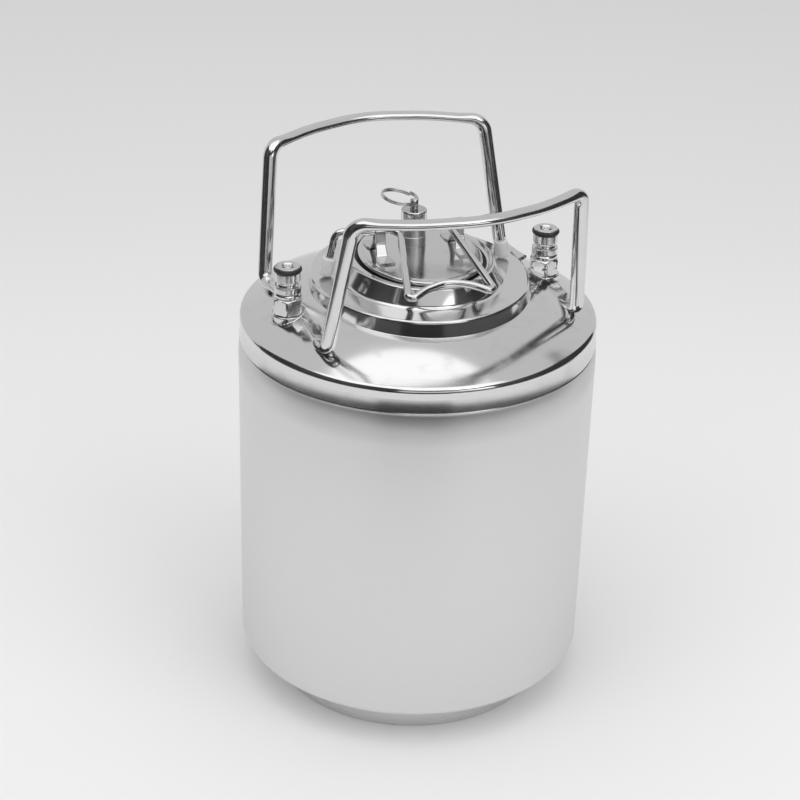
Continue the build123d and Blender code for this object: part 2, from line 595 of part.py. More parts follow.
with BuildPart() as relief_valve_nut:
    with BuildSketch(Plane((VALVE_AT.X, VALVE_AT.Y, NUT_Z))):
        RegularPolygon(NUT_FLATS / 2, 6, major_radius=False, rotation=HEX_TURN)
        Circle(SHANK_R, mode=Mode.SUBTRACT)
    extrude(amount=LID_TOP_Z - LID_SHEET - NUT_Z)
relief_valve_nut.part.label = "relief_valve_nut"
export_step(relief_valve_nut.part, "parts/relief_valve_nut.step")

with BuildPart() as relief_valve_cap:
    add(lathe([
        (0, VALVE_BARREL_Z), (VALVE_CAP_R - 0.4, VALVE_BARREL_Z), (VALVE_CAP_R, VALVE_BARREL_Z + 0.4),
        (VALVE_CAP_R, VALVE_CAP_Z - 0.8), (VALVE_CAP_R - 0.8, VALVE_CAP_Z), (0, VALVE_CAP_Z),
    ], valve_at))
    add(lathe([
        (0, VALVE_BARREL_Z - 1), (VALVE_BORE_R, VALVE_BARREL_Z - 1), (VALVE_BORE_R, CAP_ROOF_Z),
        (STEM_R + STEM_CLEAR, CAP_ROOF_Z), (STEM_R + STEM_CLEAR, VALVE_CAP_Z + 1), (0, VALVE_CAP_Z + 1),
    ], valve_at), mode=Mode.SUBTRACT)
relief_valve_cap.part.label = "relief_valve_cap"
export_step(relief_valve_cap.part, "parts/relief_valve_cap.step")

eye_plane = Plane((VALVE_AT.X, VALVE_AT.Y, EYE_Z), x_dir=HATCH.x_dir, z_dir=(0, 0, 1)).rotated(
    (0, 0, EYE_TURN)
)
with BuildPart() as relief_valve_stem:
    add(lathe([
        (0, STEM_FLANGE_Z), (STEM_FLANGE_R, STEM_FLANGE_Z), (STEM_FLANGE_R, STEM_FLANGE_TOP_Z),
        (STEM_R, STEM_FLANGE_TOP_Z), (STEM_R, EYE_Z), (0, EYE_Z),
    ], valve_at))
    with Locations(eye_plane.location):
        Box(EYE_THICK, EYE_WIDTH, EYE_HEIGHT)
        Cylinder(EYE_BORE_R, 10, rotation=(0, 90, 0), mode=Mode.SUBTRACT)
    fillet(relief_valve_stem.edges().group_by(Axis.Z)[-1].sort_by(Edge.length)[-2:], EYE_EDGE_R)
relief_valve_stem.part.label = "relief_valve_stem"
export_step(relief_valve_stem.part, "parts/relief_valve_stem.step")

with BuildPart() as relief_valve_seal:
    add(lathe([
        (0, SEAT_Z),
        (STEM_SEAL_R - 0.2, SEAT_Z),
        (STEM_SEAL_R, SEAT_Z + 0.3),
        (STEM_SEAL_R, STEM_FLANGE_Z),
        (0, STEM_FLANGE_Z),
    ], valve_at))
relief_valve_seal.part.label = "relief_valve_seal"
export_step(relief_valve_seal.part, "parts/relief_valve_seal.step")

with BuildPart() as relief_valve_spring:
    add(coil(STEM_FLANGE_TOP_Z, CAP_ROOF_Z, RELIEF_COIL_R, RELIEF_WIRE_R, RELIEF_TURNS, valve_at))
relief_valve_spring.part.label = "relief_valve_spring"
export_step(relief_valve_spring.part, "parts/relief_valve_spring.step")

# The split ring hangs in the stem's eye: two close turns of wire, dipping away from the eye
ring_tilt = eye_plane.rotated((-RING_DIP, RING_ROLL, 0))
ring_middle = ring_tilt.from_local_coords(Vector(0, RING_R, -RING_PITCH / 4))
ring_plane = Plane(ring_middle, x_dir=ring_tilt.x_dir, z_dir=ring_tilt.z_dir)
half_coil = RING_PITCH + RING_WIRE_R
with BuildPart() as pull_ring:
    with Locations(ring_plane.location):
        add(coil(-half_coil, half_coil, RING_R, RING_WIRE_R, 2))
pull_ring.part.label = "pull_ring"
export_step(pull_ring.part, "parts/pull_ring.step")
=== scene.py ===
"""A small stainless pressure keg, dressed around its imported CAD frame.

Sizes are in millimetres, and every mesh is written in metres. The floor is at Z = 0, the keg's axis
is Z, the two posts stand on X and the front handle is at -Y. The hatch, its lid and its bail are
turned a little about Z.
"""
import logging
import math
from collections.abc import Callable, Sequence
from dataclasses import dataclass, field
from enum import Enum
from typing import Any

import bpy
import numpy as np
from mathutils import Matrix, Vector


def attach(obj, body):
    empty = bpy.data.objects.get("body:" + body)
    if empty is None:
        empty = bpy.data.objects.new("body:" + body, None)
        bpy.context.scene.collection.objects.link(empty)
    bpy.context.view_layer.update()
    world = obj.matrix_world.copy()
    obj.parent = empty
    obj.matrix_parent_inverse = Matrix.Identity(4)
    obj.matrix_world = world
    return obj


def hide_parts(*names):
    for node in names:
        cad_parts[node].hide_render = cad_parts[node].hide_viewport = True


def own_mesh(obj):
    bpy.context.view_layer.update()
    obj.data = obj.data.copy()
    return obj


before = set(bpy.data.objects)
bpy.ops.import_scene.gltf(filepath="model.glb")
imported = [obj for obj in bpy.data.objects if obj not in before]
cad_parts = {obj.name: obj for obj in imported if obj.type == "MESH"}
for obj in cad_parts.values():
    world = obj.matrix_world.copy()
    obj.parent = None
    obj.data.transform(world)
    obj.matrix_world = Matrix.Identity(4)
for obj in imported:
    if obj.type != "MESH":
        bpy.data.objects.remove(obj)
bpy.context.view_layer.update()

MM = 0.001
SHARP_ANGLE = 40.0  # degrees between two faces, above which their edge shades sharp
OVAL_COLUMNS = 320  # points round an oval
COIL_COLUMNS, COIL_STEPS = 12, 64  # points round a coil's wire, and along one turn
STRAIGHT_HALF = 1.565  # radians, above which a corner's half angle counts as straight
ARC_SHARE = 0.92  # the most of half a run that an arc takes up
GUARD_REACH, GUARD_SHARE = 0.35, 0.6  # millimetres beyond an arc, and most of the room left there
MOUTH_SHARE = 0.6  # size of a slot in a swept end, as a share of the section
Array = np.ndarray
Numbers = Sequence[float]
Point = tuple[float, float, float]
Socket = bpy.types.NodeSocket
ORIGIN: Point = (0.0, 0.0, 0.0)
log = logging.getLogger("keg")


# --- shapes -----------------------------------------------------------------------------------------


@dataclass
class Skin:
    """A closed surface: points in millimetres, and faces as rows of point numbers."""

    points: Array
    faces: list[list[int]]

    def joined(self, *others: "Skin") -> "Skin":
        """This skin and others as one mesh, each still closed.

        Returns:
            The one mesh.
        """
        points, faces = [self.points], list(self.faces)
        start = len(self.points)
        for other in others:
            faces += [[number + start for number in face] for face in other.faces]
            points.append(other.points)
            start += len(other.points)
        return Skin(np.concatenate(points), faces)

    def placed(self, matrix: Array, shift: Numbers = ORIGIN) -> "Skin":
        """This skin turned by a 3 x 3 matrix, then shifted."""
        return Skin(self.points @ np.asarray(matrix).T + np.asarray(shift), self.faces)

    def flipped(self) -> "Skin":
        """This skin with its faces turned round, as it needs after a mirroring."""
        return Skin(self.points, [face[::-1] for face in self.faces])


def unit(vectors: Array) -> Array:
    """Vectors along the last axis, scaled to length one."""
    return vectors / np.linalg.norm(vectors, axis=-1, keepdims=True)


def angles(count: int) -> Array:
    """Equal steps round the circle, in radians."""
    return np.linspace(0, 2 * math.pi, count, endpoint=False)


class Axis(Enum):
    """An axis to turn about, by its place in a point."""

    X = 0
    Y = 1
    Z = 2


def turn(axis: Axis, degrees: float) -> Array:
    """The matrix of a turn: the two other axes, in the order X, Y, Z, X, turn by cos and sin.

    Args:
        axis: The axis that stays.
        degrees: The angle, by the right hand.

    Returns:
        A 3 x 3 matrix.
    """
    c, s = math.cos(math.radians(degrees)), math.sin(math.radians(degrees))
    first, second = (axis.value + 1) % 3, (axis.value + 2) % 3
    matrix = np.eye(3)
    matrix[[first, first, second, second], [first, second, first, second]] = c, -s, s, c
    return matrix


def skin(points: Array, loop_rows: bool = False) -> Skin:
    """A closed surface over a grid of points.

    Each column joins the next one and the last joins the first. Rows do the same where they loop, and
    otherwise a pole at the middle of the first and of the last row closes the ends. The faces are
    turned round where the volume inside, a sixth of the sum of a . (b x c), comes out negative.

    Args:
        points: Rows x columns x 3.
        loop_rows: Whether the last row joins the first.

    Returns:
        The surface, its faces outwards.
    """
    rows, columns, _ = points.shape
    number = np.arange(rows * columns).reshape(rows, columns)
    near = number if loop_rows else number[:-1]
    far = np.roll(number, -1, 0) if loop_rows else number[1:]
    quads = np.stack([near, np.roll(near, -1, 1), np.roll(far, -1, 1), far], -1).reshape(-1, 4)
    places = points.reshape(-1, 3)
    triangles = np.concatenate([quads[:, [0, 1, 2]], quads[:, [0, 2, 3]]])
    fans = np.empty((0, 3), int)
    if not loop_rows:
        first, last = len(places), len(places) + 1
        places = np.concatenate([places, points[[0, -1]].mean(axis=1)])
        head = np.stack([np.full(columns, first), np.roll(number[0], -1), number[0]], -1)
        tail = np.stack([np.full(columns, last), number[-1], np.roll(number[-1], -1)], -1)
        fans = np.concatenate([head, tail])
    triangles = np.concatenate([triangles, fans])
    a, b, c = (places[triangles[:, k]] for k in range(3))
    if np.einsum("ij,ij->", a, np.cross(b, c)) < 0:
        quads, fans = quads[:, ::-1], fans[:, ::-1]
    return Skin(places, quads.tolist() + fans.tolist())


def rounded(corners: Sequence[Numbers], loop: bool = False, steps: int = 7) -> Array:
    """A line through corners with a tangent arc at each, in two or three dimensions.

    At a corner with half angle h between its runs, an arc of radius r touches the runs r / tan(h)
    from the corner, and its points turn from one radius to the other in equal angles. An arc takes up
    at most ARC_SHARE of half a run, and a corner with h over STRAIGHT_HALF stays as it is. One more
    point a little outside each end of an arc keeps the shading of the straight run flat.

    Args:
        corners: Coordinates, then the corner's radius.
        loop: Whether the last corner joins the first.
        steps: Points on each arc.

    Returns:
        The line's points.
    """
    table = np.asarray(corners, float)
    places, radii = table[:, :-1], table[:, -1]
    count = len(places)
    line = []
    for number in range(count):
        place, radius = places[number], radii[number]
        back, ahead = places[number - 1] - place, places[(number + 1) % count] - place
        room = min(np.linalg.norm(back), np.linalg.norm(ahead)) / 2
        back, ahead = unit(back), unit(ahead)
        half = math.acos(float(np.clip(back @ ahead, -1, 1))) / 2
        if radius <= 0 or half > STRAIGHT_HALF or (not loop and number in (0, count - 1)):
            line.append(place[None])
            continue
        reach = min(radius / math.tan(half), ARC_SHARE * room)
        bend = math.pi - 2 * half
        middle = place + unit(back + ahead) * reach / math.cos(half)
        start, end = place + back * reach - middle, place + ahead * reach - middle
        share = np.linspace(0, 1, steps)[:, None]
        arc = middle + (start * np.sin((1 - share) * bend) + end * np.sin(share * bend)) / math.sin(bend)
        beyond = reach + min(GUARD_REACH, GUARD_SHARE * (room - reach))
        line += [(place + back * beyond)[None], arc, (place + ahead * beyond)[None]]
    return np.concatenate(line)


def spaced(line: Array, step: float) -> Array:
    """A line with points added, so that none of its runs is longer than a step.

    Args:
        line: Points x 3, or x 2.
        step: The longest run allowed.

    Returns:
        The line, its ends unchanged.
    """
    lengths = np.linalg.norm(np.diff(line, axis=0), axis=1)
    counts = np.maximum(1, np.ceil(lengths / step).astype(int))
    start = np.repeat(np.arange(len(counts)), counts)
    share = np.concatenate([np.arange(n) / n for n in counts])[:, None]
    points = line[start] * (1 - share) + line[start + 1] * share
    return np.concatenate([points, line[-1:]])


def lathe(profile: Array, centre: Numbers = ORIGIN, columns: int = 96, loop: bool = False) -> Skin:
    """A turned piece: (radius, height) goes to (x + r cos t, y + r sin t, height) for t round the circle.

    Args:
        profile: Points x 2, radius and height.
        centre: The axis, X and Y.
        columns: Points round the circle.
        loop: Whether the profile closes on itself.

    Returns:
        The closed surface.
    """
    t = angles(columns)
    r, z = profile[:, :1], profile[:, 1:2]
    grid = [centre[0] + r * np.cos(t), centre[1] + r * np.sin(t), z + 0 * t]
    return skin(np.stack(grid, -1), loop)


def turned(corners: Sequence[Numbers], centre: Numbers, steps: int, columns: int,
           loop: bool = True) -> Skin:
    """A turned piece whose profile has rounded corners, see rounded and lathe."""
    return lathe(rounded(corners, loop, steps), centre, columns, loop)


def oval_lathe(profile: Array, spread: Callable[[Array], Array], loop: bool = False) -> Skin:
    """A piece whose level cuts are ellipses.

    A profile point (a, height) goes to (a cos t, (a + spread(a)) sin t, height), so each cut has the
    half axes a and a + spread(a).

    Args:
        profile: Points x 2, half width and height.
        spread: How much longer than wide an oval is, by its half width.
        loop: Whether the profile closes on itself.

    Returns:
        The closed surface.
    """
    t = angles(OVAL_COLUMNS)
    a, z = profile[:, :1], profile[:, 1:2]
    return skin(np.stack([a * np.cos(t), (a + spread(a)) * np.sin(t), z + 0 * t], -1), loop)


def frames(path: Array, reference: Numbers) -> tuple[Array, Array, Array]:
    """The unit tangent of a path at each point, and the two directions across it.

    Across is tangent x reference, and up is across x tangent.

    Args:
        path: Points x 3.
        reference: A direction that the path never follows.

    Returns:
        Tangent, across and up, each points x 3.
    """
    tangent = unit(np.gradient(path, axis=0))
    across = unit(np.cross(tangent, np.asarray(reference, float)))
    return tangent, across, np.cross(across, tangent)


def swept(path: Array, section: Array, reference: Numbers, roll: Array | float = 0.0,
          hollow: float = 0.0) -> Skin:
    """A section carried along a path.

    A section point (p, q) goes to path + p (across cos roll - up sin roll) + q (across sin roll +
    up cos roll), where the section may differ from one path point to the next.

    Args:
        path: Points x 3.
        section: Columns x 2, or points x columns x 2.
        reference: A direction that the path never follows.
        roll: Turn of the section about the path, in degrees, at each point.
        hollow: Depth of a slot in each end, MOUTH_SHARE times the section's size.

    Returns:
        The swept surface, closed by a pole at each end.
    """
    tangent, across, up = frames(path, reference)
    angle = np.radians(np.broadcast_to(roll, len(path)))[:, None]
    side = across * np.cos(angle) - up * np.sin(angle)
    top = across * np.sin(angle) + up * np.cos(angle)
    section = np.broadcast_to(section, (len(path),) + section.shape[-2:])
    grid = path[:, None] + section[..., :1] * side[:, None] + section[..., 1:] * top[:, None]
    if hollow:
        mouths = path[[0, -1], None] + MOUTH_SHARE * (grid[[0, -1]] - path[[0, -1], None])
        deep = mouths + hollow * (tangent[[0, -1]] * [[1], [-1]])[:, None]
        grid = np.concatenate([deep[:1], mouths[:1], grid, mouths[1:], deep[1:]])
    return skin(grid)


def circle(radius: float, columns: int) -> Array:
    """The points of a circle, as a section."""
    t = angles(columns)
    return radius * np.stack([np.cos(t), np.sin(t)], -1)


def coil(radius: float, wire: float, pitch: float, turns: float) -> Skin:
    """Round wire wound about Z: the path is (R cos t, R sin t, pitch t / 2 pi), centred on the origin.

    Args:
        radius: From the axis to the middle of the wire.
        wire: The wire's radius.
        pitch: Rise of one turn.
        turns: Number of turns.

    Returns:
        The wire, closed at both ends.
    """
    t = np.linspace(0, 2 * math.pi * turns, int(COIL_STEPS * turns) + 1)
    height = pitch * (t / (2 * math.pi) - turns / 2)
    path = np.stack([radius * np.cos(t), radius * np.sin(t), height], -1)
    return swept(path, circle(wire, COIL_COLUMNS), (0, 0, 1))


def arc_length(path: Array) -> Array:
    """Distance along a path at each of its points."""
    return np.concatenate([[0.0], np.cumsum(np.linalg.norm(np.diff(path, axis=0), axis=1))])


def eased(at: Array, knots: Numbers, values: Numbers) -> Array:
    """Values at knots, joined by smoothsteps: between two knots the share is s s (3 - 2 s).

    Args:
        at: Places to look up.
        knots: Places of the known values, rising.
        values: The known values.

    Returns:
        The value at each place.
    """
    spot = np.clip(np.searchsorted(knots, at, side="right") - 1, 0, len(knots) - 2)
    low, high = np.asarray(knots, float)[spot], np.asarray(knots, float)[spot + 1]
    share = np.clip((at - low) / (high - low), 0, 1)
    share = share * share * (3 - 2 * share)
    values = np.asarray(values, float)
    return values[spot] * (1 - share) + values[spot + 1] * share


# --- shader graphs ----------------------------------------------------------------------------------


@dataclass(frozen=True)
class Value:
    """A number that varies over a surface, with arithmetic that adds Math nodes."""

    graph: "Graph"
    socket: Socket

    def __add__(self, other: "Value | float") -> "Value":
        """Sum."""
        return self.graph.maths("ADD", self, other)

    __radd__ = __add__

    def __sub__(self, other: "Value | float") -> "Value":
        """Difference."""
        return self.graph.maths("SUBTRACT", self, other)

    def __rsub__(self, other: "Value | float") -> "Value":
        """Difference, the other way round."""
        return self.graph.maths("SUBTRACT", other, self)

    def __mul__(self, other: "Value | float") -> "Value":
        """Product."""
        return self.graph.maths("MULTIPLY", self, other)

    __rmul__ = __mul__

    def ramp(self, low: float, high: float) -> "Value":
        """Zero below low, one above high, and a smoothstep between them.

        Args:
            low: Where the step starts.
            high: Where it ends.

        Returns:
            The share, from 0 to 1.
        """
        inputs = {"Value": self, "From Min": low, "From Max": high}
        node = self.graph.node("ShaderNodeMapRange", {"interpolation_type": "SMOOTHSTEP"}, inputs)
        return Value(self.graph, node.outputs["Result"])


Feed = Value | Socket | float | Numbers


class Graph:
    """The node tree of one material or of the world."""

    def __init__(self, tree: bpy.types.NodeTree, centre: Numbers = ORIGIN) -> None:
        """Clears a tree to build in it, its patterns about a centre in millimetres."""
        self.tree, self.centre = tree, centre
        tree.nodes.clear()

    def node(self, kind: str, settings: dict[str, Any] | None = None,
             inputs: dict[Any, Feed] | None = None) -> bpy.types.Node:
        """Adds a node.

        Args:
            kind: The node's type name.
            settings: Attributes, set before its sockets.
            inputs: Values or links, by socket name or number.

        Returns:
            The node.
        """
        made = self.tree.nodes.new(kind)
        for name, setting in (settings or {}).items():
            setattr(made, name, setting)
        for name, feed in (inputs or {}).items():
            source = feed.socket if isinstance(feed, Value) else feed
            if isinstance(source, Socket):
                self.tree.links.new(source, made.inputs[name])
            else:
                made.inputs[name].default_value = source
        return made

    def maths(self, operation: str, *operands: Feed) -> Value:
        """A Math node on values or numbers."""
        made = self.node("ShaderNodeMath", {"operation": operation}, dict(enumerate(operands)))
        return Value(self, made.outputs["Value"])

    def place(self, scale: Numbers = (1.0, 1.0, 1.0)) -> Socket:
        """Object coordinates in metres about the graph's centre, scaled on each axis.

        Args:
            scale: Stretch on each axis.

        Returns:
            The coordinates, to feed a texture.
        """
        shift = tuple(-c * MM * s for c, s in zip(self.centre, scale))
        coordinates = self.node("ShaderNodeTexCoord").outputs["Object"]
        inputs = {"Vector": coordinates, "Location": shift, "Scale": tuple(scale)}
        return self.node("ShaderNodeMapping", None, inputs).outputs["Vector"]

    def parts(self, vector: Socket) -> tuple[Value, Value, Value]:
        """The three parts of a vector."""
        outputs = self.node("ShaderNodeSeparateXYZ", None, {"Vector": vector}).outputs
        return Value(self, outputs["X"]), Value(self, outputs["Y"]), Value(self, outputs["Z"])

    def noise(self, vector: Socket, scale: float, detail: float = 3.0, rough: float = 0.55) -> Value:
        """Perlin noise from 0 to 1 over a vector."""
        inputs = {"Vector": vector, "Scale": scale, "Detail": detail, "Roughness": rough}
        return Value(self, self.node("ShaderNodeTexNoise", None, inputs).outputs["Fac"])

    def specks(self, vector: Socket, scale: float) -> Value:
        """Distance to the nearest of scattered points, about 0 at a point."""
        inputs = {"Vector": vector, "Scale": scale}
        return Value(self, self.node("ShaderNodeTexVoronoi", None, inputs).outputs["Distance"])

    def blend(self, share: Feed, low: Feed, high: Feed) -> Socket:
        """A colour between two colours."""
        inputs = {"Factor": share, 6: low, 7: high}
        return self.node("ShaderNodeMix", {"data_type": "RGBA"}, inputs).outputs[2]

    def bump(self, height: Value, strength: float, distance: float) -> Socket:
        """A normal disturbed by a height, its distance in millimetres."""
        inputs = {"Height": height, "Strength": strength, "Distance": distance * MM}
        return self.node("ShaderNodeBump", None, inputs).outputs["Normal"]

    def principled(self, inputs: dict[str, Feed]) -> None:
        """The surface: a Principled shader with these inputs, put out."""
        shader = self.node("ShaderNodeBsdfPrincipled", None, inputs)
        self.node("ShaderNodeOutputMaterial", None, {"Surface": shader.outputs["BSDF"]})

    def metal(self, colour: Feed, roughness: Feed, normal: Feed) -> None:
        """The surface of bare metal."""
        self.principled({"Base Color": colour, "Metallic": 1.0, "Roughness": roughness, "Normal": normal})


def grey(level: float) -> tuple[float, float, float, float]:
    """A neutral colour."""
    return (level, level, level, 1.0)


def new_material(name: str, centre: Numbers = ORIGIN) -> tuple[bpy.types.Material, Graph]:
    """A material and the graph to paint it with.

    Args:
        name: The material's name.
        centre: The point that its patterns turn about.

    Returns:
        The material and its graph.
    """
    made = bpy.data.materials.new(name)
    made.use_nodes = True
    return made, Graph(made.node_tree, centre)


def new_mesh(name: str, points: Array, faces: Sequence[Sequence[int]],
             finish: bpy.types.Material) -> bpy.types.Mesh:
    """A mesh from points in metres and faces, in one finish.

    Args:
        name: The mesh's name.
        points: Points x 3.
        faces: Rows of point numbers.
        finish: Its one material.

    Returns:
        The mesh.
    """
    mesh = bpy.data.meshes.new(name)
    mesh.from_pydata(points.tolist(), [], faces)
    mesh.materials.append(finish)
    return mesh


def linked(name: str, data: bpy.types.ID) -> bpy.types.Object:
    """An object that shows this data, put in the scene.

    Args:
        name: The object's name.
        data: Its mesh, lamp or camera.

    Returns:
        The object.
    """
    made = bpy.data.objects.new(name, data)
    bpy.context.scene.collection.objects.link(made)
    return made


# --- finishes ---------------------------------------------------------------------------------------


@dataclass(frozen=True)
class Finish:
    """A finish on some pieces, made once for each centre that its pattern turns about."""

    name: str
    slot: str

    def paint(self, graph: Graph) -> None:
        """Builds the surface's nodes."""
        raise NotImplementedError

    def material(self, centre: Numbers = ORIGIN) -> bpy.types.Material:
        """The Blender material, its pattern about a centre in millimetres.

        Args:
            centre: The point, the same for all pieces on one axis.

        Returns:
            The material.
        """
        tag = "_".join(f"{round(c)}" for c in centre) if any(centre) else "axis"
        name = f"{self.name}_{tag}"
        made = bpy.data.materials.get(name)
        if made is None:
            made, graph = new_material(name, centre)
            self.paint(graph)
        return made


@dataclass(frozen=True)
class BrushedSteel(Finish):
    """Sheet brushed round the keg: fine level lines, slow cloudiness, and painted shade below the top seam
    that stands for the dark reflection there.
    """

    tone: float = 0.74
    roughness: float = 0.32
    line_scale: float = 1500.0
    line_depth: float = 0.012
    stretch: float = 60.0
    # A band below the top seam: it lowers the roughness, and it darkens the colour as painted shade for the
    # dark reflection there.
    seam_shade_z: float = 231.0
    seam_shade_height: float = 13.0
    seam_shade: float = 0.0

    def paint(self, graph: Graph) -> None:
        """Level lines are noise that is stretched round the keg and tight up it.

        Args:
            graph: The material's nodes.
        """
        along = graph.place((1, 1, self.stretch))
        lines = graph.noise(along, self.line_scale / self.stretch, 4.0, 0.7)
        fine = graph.noise(graph.place((8, 8, 400)), 6.0, 2.0)
        cloud = graph.noise(graph.place(), 9.0, 2.0)
        marks = lines * 0.6 + fine * 0.4
        _, _, z = graph.parts(graph.place())
        low, high = (self.seam_shade_z - self.seam_shade_height) * MM, self.seam_shade_z * MM
        # near_seam: the band below the seam, patchy with the cloud. It lowers the roughness and carries the
        # painted shade.
        near_seam = z.ramp(low, high) * (cloud - 0.3) * 2.0
        rough = self.roughness + (marks - 0.5) * 0.10 + (cloud - 0.5) * 0.05 - near_seam * 0.04
        shade = (marks - 0.5) * 0.25 + (cloud - 0.5) * 0.12 + 0.5
        clean = graph.blend(shade, grey(self.tone * 0.86), grey(min(1.0, self.tone * 1.12)))
        # Painted shade: in the band below the seam the colour goes towards dark grey.
        colour = graph.blend(near_seam * self.seam_shade, clean, grey(self.tone * 0.4))
        graph.metal(colour, rough, graph.bump(marks, 0.25, self.line_depth))


@dataclass(frozen=True)
class PolishedSteel(Finish):
    """Mirror-polished sheet: a faint ripple from pressing, hairline scratches and dull spots."""

    tone: float = 0.70
    roughness: float = 0.045
    ripple: float = 0.05
    scratch: float = 0.05
    skirt_z: float = 0.0
    skirt_fade: float = 2.0
    skirt: float = 0.0

    def paint(self, graph: Graph) -> None:
        """The ripple is slow noise, and the hairlines are noise stretched in two directions.

        Args:
            graph: The material's nodes.
        """
        place = graph.place()
        ripple = graph.noise(place, 16.0, 2.0)
        along = graph.noise(graph.place((30, 900, 300)), 2.0, 3.0)
        across = graph.noise(graph.place((800, 40, 300)), 2.0, 3.0)
        hairs = along.ramp(0.62, 0.80) + across.ramp(0.64, 0.82)
        dull = graph.noise(place, 60.0, 4.0).ramp(0.50, 0.78)
        height = ripple + hairs * 0.004 + dull * 0.01
        colour = graph.blend(dull * 0.5 + hairs * 0.25, grey(self.tone), grey(self.tone * 0.88))
        _, _, z = graph.parts(place)
        below = 1.0 - z.ramp((self.skirt_z - self.skirt_fade) * MM, self.skirt_z * MM)
        rough = self.roughness + dull * 0.06 + hairs * self.scratch + below * self.skirt
        graph.metal(colour, rough, graph.bump(height, self.ripple, 1.0))


@dataclass(frozen=True)
class TurnedSteel(Finish):
    """Bar stock turned on a lathe: rings from the tool about an upright axis, worn bright."""

    tone: float = 0.72
    roughness: float = 0.13
    ring_scale: float = 2600.0
    ring_depth: float = 0.01

    def paint(self, graph: Graph) -> None:
        """The tool's rings are noise in height and in distance from the axis.

        Args:
            graph: The material's nodes.
        """
        x, y, z = graph.parts(graph.place())
        radius = graph.maths("SQRT", x * x + y * y)
        line = graph.node("ShaderNodeCombineXYZ", None, {"X": z, "Y": radius}).outputs["Vector"]
        rings = graph.noise(line, self.ring_scale, 2.0, 0.6)
        wear = graph.noise(graph.place(), 260.0, 4.0)
        colour = graph.blend(rings * 0.5 + wear * 0.5, grey(self.tone * 0.86), grey(self.tone * 1.08))
        rough = self.roughness + (rings - 0.5) * 0.10 + wear.ramp(0.5, 0.8) * 0.10
        graph.metal(colour, rough, graph.bump(rings, 0.35, self.ring_depth))


@dataclass(frozen=True)
class DrawnSteel(Finish):
    """Drawn rod, wire or tube: smooth, with short draw marks and a patchy tumbled lustre."""

    tone: float = 0.70
    roughness: float = 0.12
    patch_scale: float = 220.0
    depth: float = 0.02

    def paint(self, graph: Graph) -> None:
        """Patches are slow noise, and the draw marks are fine noise in all directions.

        Args:
            graph: The material's nodes.
        """
        place = graph.place()
        patches = graph.noise(place, self.patch_scale, 3.0)
        marks = graph.noise(place, self.patch_scale * 7, 3.0, 0.65)
        pits = graph.specks(place, self.patch_scale * 4).ramp(0.18, 0.05)
        colour = graph.blend(patches * 0.7 + marks * 0.3, grey(self.tone * 0.88), grey(self.tone * 1.06))
        rough = self.roughness + (patches - 0.5) * 0.08 + marks.ramp(0.5, 0.8) * 0.08
        height = marks * 0.7 + patches - pits * 0.3
        graph.metal(colour, rough, graph.bump(height, 0.25, self.depth))


@dataclass(frozen=True)
class Rubber(Finish):
    """Moulded black rubber with a dusty bloom."""

    tone: float = 0.012
    bloom: float = 0.05
    roughness: float = 0.42

    def paint(self, graph: Graph) -> None:
        """The bloom is patchy noise that pales and dulls the black.

        Args:
            graph: The material's nodes.
        """
        place = graph.place()
        bloom = graph.noise(place, 420.0, 4.0).ramp(0.45, 0.80)
        grain = graph.noise(place, 3000.0, 2.0)
        graph.principled({
            "Base Color": graph.blend(bloom, grey(self.tone), grey(self.bloom)),
            "Roughness": self.roughness + bloom * 0.2 + (grain - 0.5) * 0.1,
            "Normal": graph.bump(grain, 0.2, 0.02),
        })


@dataclass(frozen=True)
class Vinyl(Finish):
    """Dipped grey vinyl, slightly see-through, with faint flow lines."""

    tone: float = 0.66
    roughness: float = 0.32

    def paint(self, graph: Graph) -> None:
        """Flow lines are noise stretched up the sleeve, over a slow mottling.

        Args:
            graph: The material's nodes.
        """
        flow = graph.noise(graph.place((900, 900, 120)), 1.0, 3.0)
        mottle = graph.noise(graph.place(), 300.0, 3.0)
        colour = graph.blend(mottle * 0.6 + flow * 0.4, grey(self.tone * 0.82), grey(self.tone * 1.15))
        graph.principled({
            "Base Color": colour,
            "Roughness": self.roughness + (mottle - 0.5) * 0.15,
            "Subsurface Weight": 0.45,
            "Subsurface Scale": 0.003,
            "Subsurface Radius": (1.0, 1.0, 1.0),
            "Normal": graph.bump(flow * 0.5 + mottle, 0.2, 0.05),
        })


# The brushed shell: its painted shade below the top seam goes 0.60 of the way to dark grey.
BRUSHED = BrushedSteel("brushed_steel", "brushed_shell", seam_shade=0.60)
FOOT = BrushedSteel("foot_steel", "brushed_shell", tone=0.72, roughness=0.28)
HEAD = PolishedSteel("head_steel", "polished_head", tone=0.72, roughness=0.115, skirt_z=254.0, skirt=0.07)
POLISHED = PolishedSteel("polished_steel", "polished_head", tone=0.72, roughness=0.13)
LID_STEEL = PolishedSteel("lid_steel", "polished_head", tone=0.68, roughness=0.13)
ROD = DrawnSteel("rod_steel", "satin_rod", tone=0.72, roughness=0.13, patch_scale=90.0)
BAIL_WIRE = DrawnSteel("bail_steel", "satin_rod", tone=0.72, roughness=0.07, patch_scale=150.0)
STRAP = DrawnSteel("strap_steel", "pressed_strap", tone=0.64, roughness=0.17, patch_scale=260.0)
TURNED = TurnedSteel("turned_steel", "turned_steel")
TURNED_DULL = TurnedSteel("blasted_steel", "turned_steel", tone=0.76, roughness=0.34, ring_depth=0.02)
TUBE = DrawnSteel("tube_metal", "tube_steel", tone=0.62, roughness=0.20, patch_scale=180.0)
WIRE = DrawnSteel("wire_steel", "spring_wire", tone=0.66, roughness=0.14, patch_scale=500.0)
RUBBER = Rubber("black_rubber", "black_rubber")
SLEEVE = Vinyl("grey_vinyl", "grey_sleeve")


# --- pieces -----------------------------------------------------------------------------------------


